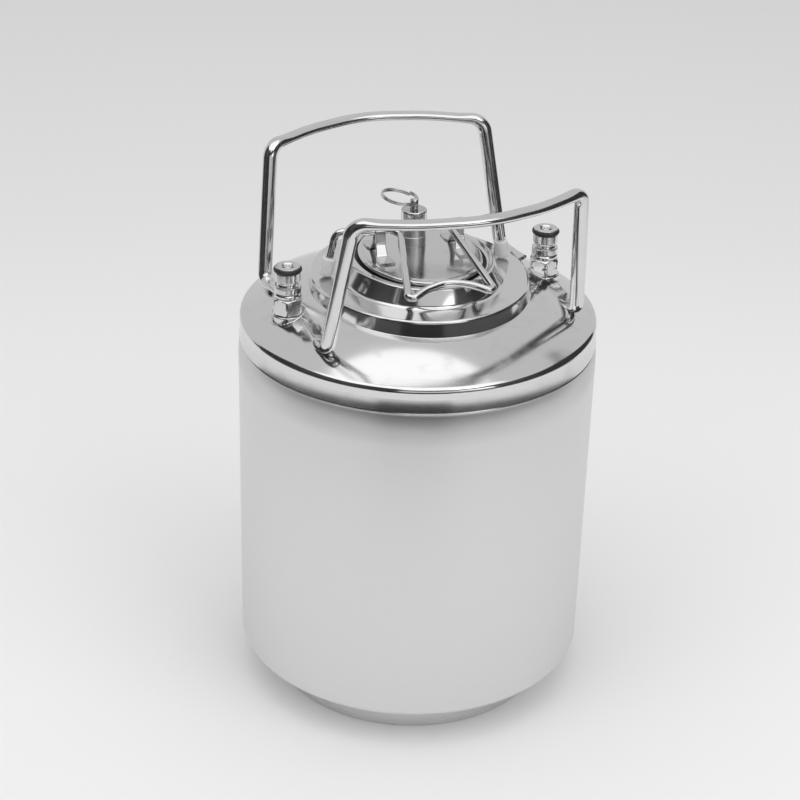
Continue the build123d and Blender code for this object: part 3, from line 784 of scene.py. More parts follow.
def put(name: str, shape: Skin, body: str, finish: Finish, nodes: Sequence[str] = (),
        centre: Numbers = ORIGIN) -> bpy.types.Object:
    """Makes a piece of the model.

    Args:
        name: The piece's name.
        shape: Its surface, in millimetres.
        body: The CAD body that it rides on.
        finish: Its finish.
        nodes: The CAD nodes that it stands for.
        centre: The point that the finish's pattern turns about.

    Returns:
        The piece's object.
    """
    mesh = new_mesh(name, shape.points * MM, shape.faces, finish.material(centre))
    mesh.validate()
    mesh.shade_smooth()
    mesh.set_sharp_from_angle(angle=math.radians(SHARP_ANGLE))
    piece = linked(name, mesh)
    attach(piece, body)
    if nodes:
        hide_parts(*nodes)
    log.info("%s: %d points on %s, for %s", name, len(shape.points), body, ", ".join(nodes) or "no node")
    return piece


def dress(node: str, finish: Finish, centre: Numbers = ORIGIN) -> None:
    """Gives a CAD node a finish.

    Args:
        node: The CAD node's name.
        finish: Its finish.
        centre: The point that the pattern turns about.
    """
    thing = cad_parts[node]
    thing.data.materials.clear()
    thing.data.materials.append(finish.material(centre))
    log.info("%s: CAD node in %s", node, finish.name)


@dataclass(frozen=True)
class Dome:
    """The head's outside: a sphere of radius r, its top at a height."""

    top_z: float = 285.1
    rim_r: float = 113.2
    rim_z: float = 257.7

    @property
    def radius(self) -> float:
        """Sphere radius from the rise over the rim: (r r + h h) / 2 h."""
        rise = self.top_z - self.rim_z
        return (self.rim_r**2 + rise**2) / (2 * rise)

    def height(self, distance: Array | float) -> Array:
        """Height of the dome at a distance from the keg's axis."""
        return self.top_z - self.radius + np.sqrt(self.radius**2 - np.square(distance))

    def normal(self, x: float, y: float) -> Array:
        """The way straight out of the dome above a place."""
        up = float(self.height(math.hypot(x, y))) - self.top_z + self.radius
        return unit(np.array([x, y, up]))

    def above(self, x: float, y: float, rise: float) -> Array:
        """The point a rise above the dome, square to it."""
        return np.array([0, 0, self.top_z - self.radius]) + self.normal(x, y) * (self.radius + rise)


DOME = Dome()
HATCH_TURN = -5.5
TO_HATCH = turn(Axis.Z, HATCH_TURN)


def hatch_spread(a: Array) -> Array:
    """How much longer an oval of the hatch is than wide, in half axes, at a half width."""
    return np.interp(a, [37.8, 40.2, 45.6, 49.8, 68.4], [8.6, 8.3, 7.8, 5.8, 5.6])


@dataclass
class Vessel:
    """The brushed shell, its polished head and its foot ring."""

    shell_r: float = 114.0
    sheet: float = 1.2
    neck_z: float = 229.0
    neck_in: float = 0.8
    seam_z: float = 241.8
    seam_r: float = 113.5
    waist_z: float = 252.0
    waist_r: float = 112.6
    rim_edge_r: float = 4.2
    dish_edge_z: float = 25.4
    dish_low_z: float = 9.0
    dish_r: float = 97.0
    bend_r: float = 100.0
    corner_r: float = 3.5
    hatch_a: float = 67.6
    foot_r: float = 91.4
    foot_sheet: float = 1.8
    foot_lip: float = 5.0
    columns: int = 288
    body: str = "keg"

    def dish(self, r: Array, rise: float = 0.0) -> Array:
        """Points (r, z) of the dished bottom: a sphere through its low point and its edge.

        Args:
            r: Distances from the axis.
            rise: How far above the outside, for the inside.

        Returns:
            Points x 2, radius and height.
        """
        depth = self.dish_edge_z - self.dish_low_z
        sphere = (self.shell_r**2 + depth**2) / (2 * depth)
        return np.stack([r, self.dish_low_z + sphere - np.sqrt(sphere**2 - r**2) + rise], -1)

    def wall(self) -> Skin:
        """The shell as a turned profile: out over the dish, up the wall, and back inside.

        Above neck_z the wall leans in as r = R - neck_in s s, s running from 0 there to 1 at the seam.

        Returns:
            The shell.
        """
        r_in = self.shell_r - self.sheet
        inner_z = self.dish_edge_z + self.sheet
        low = rounded([
            (self.bend_r, self.dish(np.array([self.bend_r]))[0, 1], 0),
            (self.shell_r, self.dish_edge_z, self.corner_r), (self.shell_r, self.neck_z, 0),
        ], steps=9)
        s = np.linspace(0, 1, 12)[1:]
        neck = np.stack([
            self.shell_r - self.neck_in * s * s,
            self.neck_z + (self.seam_z - 0.35 - self.neck_z) * s,
        ], -1)
        top = rounded([
            (self.shell_r - self.neck_in, self.seam_z - 0.3, 0),
            (self.shell_r - self.neck_in - 0.3, self.seam_z, 0.25),
            (r_in - self.neck_in, self.seam_z, 0.3), (r_in, self.neck_z, 8.0),
            (r_in, inner_z, self.corner_r - self.sheet),
            (self.bend_r, self.dish(np.array([self.bend_r]), self.sheet)[0, 1], 0),
        ], steps=6)
        side = np.concatenate([low, neck, top])
        out = self.dish(np.linspace(1.0, self.dish_r, 24))
        back = self.dish(np.linspace(self.dish_r, 1.0, 24), self.sheet)
        return lathe(np.concatenate([out, side, back]), columns=self.columns)

    def head(self) -> Skin:
        """The domed head.

        Its rows run from the hatch's oval, whose radius at an angle t is a b / hypot(b cos t, a sin t),
        out over the dome, round the rim and down to the seam, and back inside. The skirt below the
        rim is hollow: between the rim's edge and the seam, r = waist + k (z - waist_z)^2.

        Returns:
            The head, with the hole that the hatch ring fills.
        """
        t = angles(self.columns)
        local = t - math.radians(HATCH_TURN)
        a = self.hatch_a
        b = a + float(hatch_spread(np.array(a)))
        hole = a * b / np.hypot(b * np.cos(local), a * np.sin(local))
        flat_r = DOME.rim_r - 7.0
        share = np.linspace(0, 1, 40)[:, None]
        over = hole + (flat_r - hole) * share
        inner_r = DOME.rim_r - self.sheet
        under = over[::-1] * (inner_r - 3) / flat_r
        rim = rounded([
            (flat_r + 0.5, float(DOME.height(flat_r + 0.5)), 0),
            (DOME.rim_r, DOME.rim_z + 0.2, self.rim_edge_r),
            (self.waist_r + 0.12, self.waist_z + 0.3, 0),
        ], steps=12)
        z = np.linspace(self.waist_z, self.seam_z + 0.6, 14)
        gain = (self.seam_r - self.waist_r) / (self.seam_z - self.waist_z) ** 2
        skirt = np.stack([self.waist_r + gain * (z - self.waist_z) ** 2, z], -1)
        hem = rounded([
            (self.seam_r - 0.02, self.seam_z + 0.5, 0),
            (self.seam_r - 0.3, self.seam_z + 0.05, 0.25),
            (self.seam_r - self.sheet, self.seam_z + 0.05, 0.3), (inner_r - 0.6, self.waist_z, 3.0),
            (inner_r - 0.6, DOME.rim_z - self.sheet, 0),
        ], steps=5)
        side = np.concatenate([rim, skirt, hem])
        radii = np.concatenate([over, side[:, :1] + 0 * t, under])
        heights = np.concatenate([DOME.height(over), side[:, 1:] + 0 * t, DOME.height(under) - self.sheet])
        return skin(np.stack([radii * np.cos(t), radii * np.sin(t), heights], -1), True)

    def ring(self) -> Skin:
        """The foot ring: a rolled band with a lip turned in at the floor.

        Returns:
            The foot ring.
        """
        top = self.dish(np.array([self.foot_r]))[0, 1] + 0.3
        return turned([
            (self.foot_r - self.foot_lip, 0.0, 0.5), (self.foot_r, 0.0, 1.6),
            (self.foot_r, top, 0.2), (self.foot_r - self.foot_sheet, top, 0.2),
            (self.foot_r - self.foot_sheet, self.foot_sheet, 0.8),
            (self.foot_r - self.foot_lip, self.foot_sheet, 0.5),
        ], ORIGIN, 7, self.columns)

    def build(self) -> None:
        """Builds and dresses the vessel."""
        put("shell_wall", self.wall(), self.body, BRUSHED, ["body_shell"])
        put("domed_head", self.head(), self.body, HEAD, ["top_end_cap"])
        put("foot_band", self.ring(), self.body, FOOT, ["foot_ring"])


@dataclass
class HatchRing:
    """The oval ring on the head: a wall, a flat step and a raised collar with a narrower lip."""

    step_a: float = 68.4
    step_z: float = 283.6
    low_z: float = 266.0
    sheet: float = 2.0
    draft: float = 1.9
    collar_low_a: float = 51.4
    collar_top_a: float = 45.6
    lip_z: float = 295.3
    lip_under_z: float = 290.5
    well_a: float = 45.7
    mouth_a: float = 40.2
    root_r: float = 1.1
    body: str = "keg"

    def ring(self) -> Skin:
        """The ring's closed profile carried round its ovals.

        Returns:
            The ring, turned with the hatch.
        """
        profile = rounded([
            (self.step_a + self.draft, self.low_z, 0.3), (self.step_a, self.step_z, 1.8),
            (self.collar_low_a, self.step_z, 3.6), (self.collar_top_a, self.lip_z, 1.9),
            (self.mouth_a, self.lip_z, 1.9), (self.mouth_a, self.lip_under_z, 0.5),
            (self.well_a, self.lip_under_z, 0.4), (self.well_a, self.step_z - self.sheet, 0.4),
            (self.step_a - self.sheet, self.step_z - self.sheet, 0.8),
            (self.step_a - self.sheet, self.low_z, 0.3),
        ], True, 10)
        return oval_lathe(profile, hatch_spread, True).placed(TO_HATCH)

    def root(self) -> Skin:
        """The root where the wall meets the dome.

        From each point of the wall's oval, a hollow quarter arc of radius R goes out along the oval's
        normal: out = R (1 - sin p), up = R (1 - cos p), both measured from the dome's surface.

        Returns:
            The root, turned with the hatch.
        """
        t = angles(OVAL_COLUMNS)
        a = self.step_a + 0.3
        b = a + float(hatch_spread(np.array(a)))
        oval = np.stack([a * np.cos(t), b * np.sin(t)], -1)
        away = unit(np.stack([np.cos(t) / a, np.sin(t) / b], -1))
        p = np.linspace(0, math.pi / 2, 9)
        out = np.concatenate([[-0.5], self.root_r * (1 - np.sin(p))])
        up = np.concatenate([[-0.5], self.root_r * (1 - np.cos(p))])
        flat = oval + out[:, None, None] * away
        height = DOME.height(np.linalg.norm(flat, axis=-1)) + up[:, None]
        return skin(np.concatenate([flat, height[..., None]], -1), True).placed(TO_HATCH)

    def build(self) -> None:
        """Builds and dresses the ring."""
        put("hatch_step", self.ring(), self.body, POLISHED, ["hatch_ring"])
        put("hatch_root", self.root(), self.body, POLISHED)


@dataclass
class Lid:
    """The oval lid that hangs under the lip, its gasket and the two clips that carry the bail."""

    top_z: float = 297.5
    sheet: float = 1.6
    plateau_a: float = 38.3
    table_a: float = 35.2
    step: float = 0.55
    flange_a: float = 45.1
    flange_z: float = 285.3
    hinge_y: float = 4.0
    hinge_z: float = 312.6
    clip_x: float = 25.8
    clip_width: float = 6.4
    clip_sheet: float = 1.2
    loop_r: float = 3.03
    waist_z: float = 305.2
    flare_y: float = 7.6
    toe_y: float = 19.0
    toe_width: float = 10.0
    widen: tuple[float, float] = (-3.0, 4.0)
    body: str = "lid"

    def spread(self, a: Array) -> Array:
        """The hatch's spread, shrinking to none at the middle of the flat top."""
        return hatch_spread(a) * np.clip(a / self.plateau_a, 0, 1)

    def plate(self) -> Skin:
        """The lid's profile from the middle of its top, over the edge and flange, and back below.

        Returns:
            The plate, turned with the hatch.
        """
        under = self.top_z - self.sheet
        profile = rounded([
            (1.0, self.top_z, 0), (self.table_a, self.top_z, 0.25),
            (self.table_a + 0.1, self.top_z - self.step, 0.2),
            (self.plateau_a, self.top_z - self.step, 1.9),
            (self.plateau_a, self.flange_z + self.sheet, 1.0),
            (self.flange_a, self.flange_z + self.sheet, 0.5), (self.flange_a, self.flange_z, 0.5),
            (self.plateau_a - self.sheet, self.flange_z, 1.0),
            (self.plateau_a - self.sheet, under, 1.0), (1.0, under, 0),
        ], steps=9)
        return oval_lathe(profile, self.spread).placed(TO_HATCH)

    def clip(self, x: float) -> Skin:
        """A strap bent over the bail: a rounded oblong section along toes, waist and loop.

        The strap is clip_width wide at the loop and widens to toe_width along each foot.

        Args:
            x: The clip's place across the lid.

        Returns:
            The strap, turned with the hatch.
        """
        flat = self.top_z + self.clip_sheet / 2
        left = rounded([
            (x, self.hinge_y - self.toe_y, flat, 0), (x, self.hinge_y - self.flare_y, flat, 1.4),
            (x, self.hinge_y - self.loop_r, self.waist_z, 3.0),
            (x, self.hinge_y - self.loop_r, self.hinge_z, 0),
        ], steps=8)
        t = np.linspace(math.pi, math.pi / 2, 14)[1:]
        loop = np.stack([
            x + 0 * t,
            self.hinge_y + self.loop_r * np.cos(t),
            self.hinge_z + self.loop_r * np.sin(t),
        ], -1)
        half = np.concatenate([left, loop])
        mirrored = half[-2::-1] * [1, -1, 1] + [0, 2 * self.hinge_y, 0]
        path = spaced(np.concatenate([half, mirrored]), 1.0)
        w, h = self.clip_width / 2, self.clip_sheet / 2
        section = rounded([(-w, -h, 0.35), (w, -h, 0.35), (w, h, 0.35), (-w, h, 0.35)], True, 4)
        out = np.abs(path[:, 1] - self.hinge_y)
        gain = self.toe_width / self.clip_width
        knots = [0, self.flare_y + self.widen[0], self.flare_y + self.widen[1], self.toe_y + 1]
        wide = eased(out, knots, [1, 1, gain, gain])
        sections = section * np.stack([wide, np.ones_like(wide)], -1)[:, None]
        return swept(path, sections, (1, 0, 0), 90.0).placed(TO_HATCH)

    def build(self) -> None:
        """Builds and dresses the lid."""
        put("lid_plate", self.plate(), self.body, LID_STEEL, ["lid"])
        dress("lid_gasket", RUBBER)
        put("clip_left", self.clip(-self.clip_x), self.body, STRAP, ["bail_clip_left"])
        put("clip_right", self.clip(self.clip_x), self.body, STRAP, ["bail_clip_right"])


@dataclass
class Bail:
    """The spring-wire bail that presses the lid up into its seat, with a sleeve on each foot."""

    wire_r: float = 2.35
    foot: Point = (58.9, 8.46, 284.75)
    shoulder: Point = (53.1, 6.4, 313.8)
    pivot_x: float = 32.0
    left_arm_x: float = 12.4
    right_arm_x: float = 19.4
    hinge_y: float = 4.0
    hinge_z: float = 312.6
    grip: Point = (27.9, -63.3, 293.8)
    bow: Point = (15.0, -55.6, 297.2)
    crown: Point = (0.0, -51.6, 299.2)
    radii: tuple[float, ...] = (6.0, 18.0, 7.6, 2.9, 26.0)
    sleeve_r: float = 4.35
    sleeve_length: float = 12.2
    sleeve_cap: float = 1.4
    body: str = "bail"

    def wire(self) -> Skin:
        """Round wire along the bail's corners, mirrored but for where the two arms leave the pivot.

        Returns:
            The wire, turned with the hatch.
        """
        foot, shoulder = np.array(self.foot), np.array(self.shoulder)
        end = foot + unit(shoulder - foot) * self.sleeve_cap

        def side(arm_x: float) -> list[tuple[float, ...]]:
            """One side's corners, from the sleeve to beside the crown.

            Args:
                arm_x: Where the arm leaves the pivot.

            Returns:
                Coordinates and radius of each corner.
            """
            return [
                (*end, 0),
                (*self.shoulder, self.radii[0]),
                (self.pivot_x, self.hinge_y, self.hinge_z, self.radii[1]),
                (arm_x, self.hinge_y, self.hinge_z, self.radii[2]),
                (*self.grip, self.radii[3]),
                (*self.bow, self.radii[4]),
            ]

        left = [(-x, y, z, r) for x, y, z, r in side(self.left_arm_x)]
        corners = left + [(*self.crown, self.radii[4])] + side(self.right_arm_x)[::-1]
        path = spaced(rounded(corners, steps=12), 2.5)
        return swept(path, circle(self.wire_r, 36), (0.0, 0.5, -0.87)).placed(TO_HATCH)

    def sleeve(self, side: int) -> Skin:
        """A dipped sleeve: turned about its own axis, stood along the wire.

        Args:
            side: -1 for the left sleeve, 1 for the right.

        Returns:
            The sleeve on its wire.
        """
        r, length, bore = self.sleeve_r, self.sleeve_length, self.wire_r
        profile = rounded([
            (0.4, 0.0, 0), (r, 0.0, 2.4), (r * 1.01, length * 0.55, 8.0), (r * 0.97, length, 0.8),
            (bore + 0.02, length, 0.4), (bore + 0.02, self.sleeve_cap, 0.3),
            (0.4, self.sleeve_cap, 0),
        ], steps=8)
        foot, shoulder = np.array(self.foot), np.array(self.shoulder)
        way = unit(shoulder - foot)
        x_way = unit(np.cross(np.array([0.0, 1.0, 0.0]), way))
        stand = np.stack([x_way, np.cross(way, x_way), way], -1)
        mirror = np.diag([side, 1, 1])
        upright = lathe(profile, columns=48).placed(mirror @ stand, mirror @ foot)
        return (upright.flipped() if side < 0 else upright).placed(TO_HATCH)

    def build(self) -> None:
        """Builds and dresses the bail."""
        put("bail_wire", self.wire(), self.body, BAIL_WIRE, ["lid_bail"])
        put("sleeve_left", self.sleeve(-1), self.body, SLEEVE, ["bail_foot_left"])
        put("sleeve_right", self.sleeve(1), self.body, SLEEVE, ["bail_foot_right"])


class FixedEnd(Enum):
    """The end of a spring that stays where it is."""

    LOW = "low"
    HIGH = "high"


@dataclass
class Spring:
    """A wire spring between two heights."""

    name: str
    node: str
    body: str
    joint: str
    centre: Point
    low_z: float
    high_z: float
    coil_r: float
    turns: float
    fixed: FixedEnd
    wire_r: float = 0.5
    travel: float = 3.0
    room: float = 0.05

    def build(self) -> None:
        """Winds the spring, dresses it and gives it a mesh of its own."""
        low, high = self.low_z + self.room, self.high_z - self.room
        pitch = (high - low - 2 * self.wire_r) / self.turns
        middle = np.array([self.centre[0], self.centre[1], (low + high) / 2])
        wire = coil(self.coil_r, self.wire_r, pitch, self.turns).placed(np.eye(3), middle)
        piece = put(self.name, wire, self.body, WIRE, [self.node])
        end = low if self.fixed is FixedEnd.LOW else high
        anchor = (middle[0] * MM, middle[1] * MM, end * MM)
        keep = 1 - self.travel / (high - low)
        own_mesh(piece)


@dataclass
class ReliefValve:
    """The pull-ring relief valve that stands on the lid behind its middle."""

    place_y: float = 14.0
    shank_r: float = 6.2
    shank_z: float = 289.5
    deck_z: float = 297.5
    base_r: float = 7.9
    base_z: float = 303.8
    barrel_r: float = 7.6
    barrel_z: float = 311.5
    cap_r: float = 8.2
    cap_z: float = 320.9
    cap_score: tuple[float, ...] = (1.6, 1.8, 2.2, 2.4)
    score_depth: float = 0.35
    bore_r: float = 4.7
    seat_r: float = 3.0
    seat_z: float = 293.5
    roof_z: float = 318.9
    spring_r: float = 3.4
    spring_turns: float = 8.0
    stem_r: float = 2.0
    stem_low_z: float = 296.0
    stem_flange_r: float = 4.3
    stem_flange_z: float = 298.0
    eye_z: float = 324.4
    eye_turn: float = 20.0
    eye_half: Point = (1.3, 2.7, 3.1)
    eye_bore: float = 1.75
    eye_power: float = 5.0
    eye_rows: tuple[tuple[float, float], ...] = ((0.0, -0.75), (0.15, -1.0), (0.85, -1.0), (1.0, -0.7))
    ring_r: float = 11.4
    ring_wire: float = 0.68
    ring_pitch: float = 1.2
    ring_turns: float = 2.0
    ring_turn: float = 36.0
    ring_rise: float = 9.0
    ring_roll: float = 6.0
    centre: Point = field(init=False)

    def __post_init__(self) -> None:
        """Finds the valve's axis from the hatch's turn."""
        self.centre = tuple(TO_HATCH @ np.array([0.0, self.place_y, 0.0]))

    def barrel(self) -> Skin:
        """The body: a shank through the lid, a blasted base, a turned barrel and its bore.

        Returns:
            The body on its axis.
        """
        return turned([
            (self.seat_r, self.shank_z, 0.1), (self.shank_r, self.shank_z, 0.5),
            (self.shank_r, self.deck_z, 0.05), (self.base_r, self.deck_z, 0.3),
            (self.base_r, self.base_z, 0.45), (self.barrel_r, self.base_z + 0.15, 0.1),
            (self.barrel_r, self.barrel_z, 0.3), (self.bore_r, self.barrel_z, 0.2),
            (self.bore_r, self.seat_z, 0.2), (self.seat_r, self.seat_z, 0.2),
        ], self.centre, 5, 96)

    def cap(self) -> Skin:
        """The screwed cap, its roof pierced for the stem and a thin groove round its foot.

        Returns:
            The cap on its axis.
        """
        hole = self.stem_r + 0.4
        return turned([
            (self.bore_r, self.barrel_z, 0.2), (self.cap_r, self.barrel_z, 0.5),
            (self.cap_r, self.barrel_z + self.cap_score[0], 0.1),
            (self.cap_r - self.score_depth, self.barrel_z + self.cap_score[1], 0.1),
            (self.cap_r - self.score_depth, self.barrel_z + self.cap_score[2], 0.1),
            (self.cap_r, self.barrel_z + self.cap_score[3], 0.1), (self.cap_r, self.cap_z, 0.9),
            (hole, self.cap_z, 0.3), (hole, self.roof_z, 0.1), (self.bore_r, self.roof_z, 0.3),
        ], self.centre, 6, 96)

    def stem(self) -> Skin:
        """The lifting stem below its eye.

        Returns:
            The stem on its axis.
        """
        return turned([
            (0.3, self.stem_low_z, 0), (self.stem_flange_r, self.stem_low_z, 0.2),
            (self.stem_flange_r, self.stem_flange_z, 0.2), (self.stem_r, self.stem_flange_z, 0.2),
            (self.stem_r, self.eye_z - 1.0, 0.2), (0.3, self.eye_z - 1.0, 0),
        ], self.centre, 4, 40, False)

    def eye(self) -> Skin:
        """The stem's eye: a rounded oblong plate with a round hole, closed from front to back.

        Seen along the plate's normal, rows run from the hole out to the plate's edge: the hole is a
        circle, and the edge is the superellipse |y / w|^n + |z / h|^n = 1. eye_rows holds the back
        half's rows, as shares of the way out and of the half thickness.

        Returns:
            The eye at its height and turn.
        """
        half_x, half_y, half_z = self.eye_half
        t = angles(48)
        c, s = np.cos(t), np.sin(t)
        power = self.eye_power
        edge = (np.abs(c / half_y) ** power + np.abs(s / half_z) ** power) ** (-1 / power)
        share, x = np.array(self.eye_rows + tuple((a, -b) for a, b in self.eye_rows[::-1])).T[..., None]
        r = self.eye_bore + (edge - self.eye_bore) * share
        shape = skin(np.stack([x * half_x + 0 * t, r * c, r * s], -1), True)
        return shape.placed(turn(Axis.Z, HATCH_TURN + self.eye_turn), (*self.centre[:2], self.eye_z))

    def ring(self) -> Skin:
        """The split ring: two close turns of wire through the eye, rising a little away from it.

        Returns:
            The ring, hanging in the eye.
        """
        tilt = turn(Axis.X, self.ring_rise)
        lie = turn(Axis.Z, HATCH_TURN + self.ring_turn) @ tilt @ turn(Axis.Y, self.ring_roll)
        eye = np.array([*self.centre[:2], self.eye_z])
        middle = eye + lie @ np.array([0.0, self.ring_r, -self.ring_pitch / 4])
        return coil(self.ring_r, self.ring_wire, self.ring_pitch, self.ring_turns).placed(lie, middle)

    def build(self) -> None:
        """Builds and dresses the valve."""
        put("valve_barrel", self.barrel(), "lid", TURNED_DULL, ["relief_valve_body"], self.centre)
        put("valve_cap", self.cap(), "lid", TURNED, ["relief_valve_cap"], self.centre)
        stem = self.stem().joined(self.eye())
        put("valve_stem", stem, "relief_stem", TURNED, ["relief_valve_stem"], self.centre)
        put("split_ring", self.ring(), "pull_ring", WIRE, ["pull_ring"])
        dress("relief_valve_nut", TURNED, self.centre)
        dress("relief_valve_seal", RUBBER)
        Spring("valve_spring", "relief_valve_spring", "lid", "relief_lift", self.centre,
               self.stem_flange_z, self.roof_z, self.spring_r, self.spring_turns, FixedEnd.HIGH).build()


class Side(Enum):
    """Which side of the keg a handle stands on."""

    FRONT = "front"
    REAR = "rear"


@dataclass
class Handle:
    """A bent rod handle: flattened feet on the dome, round legs and a bowed grip pressed flat."""

    side: Side
    rod_r: float = 4.5
    leg: Point = (83.4, -54.8, 270.0)
    corner: Point = (73.8, -68.6, 352.8)
    bow: tuple[float, float] = (40.0, -85.6)
    crown: tuple[float, float] = (-95.5, 354.8)
    grip_half: tuple[float, float] = (4.7, 2.4)
    pad_x: float = 82.6
    toe_x: float = 82.4
    ankle_y: float = -45.5
    heel_y: float = -36.0
    toe_y: float = -22.5
    pad_half: tuple[float, float] = (4.6, 1.3)
    foot_bend: float = 8.0
    corner_bend: float = 10.0
    grip_bends: tuple[float, float] = (100.0, 90.0)
    flat_run: tuple[float, float] = (-6.0, 17.0)
    press_run: tuple[float, float] = (7.0, 8.0)
    bend_half: tuple[float, float] = (5.2, 3.0)
    heel_gain: float = 0.2
    pad_bend: float = 14.0
    sink: float = 0.2
    ankle_lift: float = 0.3
    bow_drop: float = 0.9
    mouth: float = 3.0
    body: str = "keg"

    def half_path(self) -> tuple[Array, float, float]:
        """The rod's line from a toe to just before the crown, and where its corner and heel fall.

        Returns:
            The points, and two distances along them.
        """
        toe = DOME.above(self.toe_x, self.toe_y, self.pad_half[1] - self.sink)
        heel = DOME.above(self.pad_x, self.heel_y, self.pad_half[1] - self.sink)
        ankle = DOME.above(self.pad_x, self.ankle_y, self.pad_half[1] + self.ankle_lift)
        bow_z = self.crown[1] - self.bow_drop
        corners = [
            (*toe, 0),
            (*heel, self.pad_bend),
            (*ankle, self.pad_bend),
            (*self.leg, self.foot_bend),
            (*self.corner, self.corner_bend),
            (*self.bow, bow_z, self.grip_bends[0]),
            (0.0, *self.crown, self.grip_bends[1]),
            (-self.bow[0], self.bow[1], bow_z, 0),
        ]
        line = spaced(rounded(corners, steps=16), 1.5)
        line = line[: int(np.argmax(line[:, 0] <= 0.0))]
        along = arc_length(line)
        corner_at = along[np.argmin(np.linalg.norm(line - np.array(self.corner), axis=1))]
        heel_at = along[np.argmin(np.linalg.norm(line - heel, axis=1))]
        return line, float(corner_at), float(heel_at)

    def rod(self) -> Skin:
        """The whole handle in one sweep.

        A section point at angle t is (a cos t + k clip(3 cos t, -1, 1), b sin t), an oval with flats of
        half length k. Its half axes change from the pad to the round leg and on to the flat grip. The
        pressed tube stays open at each toe.

        Returns:
            The handle on the front side.
        """
        half, corner_at, heel_at = self.half_path()
        along = arc_length(half)
        bend_at = heel_at + self.press_run[0]
        round_at = bend_at + self.press_run[1]
        start, end = corner_at + self.flat_run[0], corner_at + self.flat_run[1]
        knots = [0, heel_at, bend_at, round_at, start, end, along[-1] + 1]
        pad_w, pad_h = self.pad_half
        grip_w, grip_h = self.grip_half
        r = self.rod_r
        bend_w, bend_h = self.bend_half
        high = eased(along, knots, [pad_h, pad_h, bend_h, r, r, grip_h, grip_h])
        wide = eased(along, knots, [pad_w, pad_w + self.heel_gain, bend_w, r, r, grip_w, grip_w])
        sway = math.degrees(math.asin(self.pad_x / DOME.radius))
        roll = eased(along, [0, heel_at, round_at, along[-1] + 1], [sway, sway, 0, 0])
        path = np.concatenate([half, half[::-1] * [-1, 1, 1]])
        high, wide, roll = (np.concatenate([v, v[::-1]]) for v in (high, wide, roll))
        t = angles(48)
        flat = (wide - high)[:, None] * np.clip(3 * np.cos(t), -1, 1)
        across = high[:, None] * np.cos(t) + flat
        up = high[:, None] * np.sin(t)
        return swept(path, np.stack([across, up], -1), (0, 0, 1), roll, self.mouth)

    def build(self) -> None:
        """Builds and dresses the handle, the rear one as the mirror of the front one."""
        shape = self.rod()
        if self.side is Side.REAR:
            shape = shape.placed(np.diag([1, -1, 1])).flipped()
        put(f"{self.side.value}_rod", shape, self.body, ROD, [f"handle_{self.side.value}"])


class Fluid(Enum):
    """What a post passes."""

    GAS = "gas"
    LIQUID = "liquid"


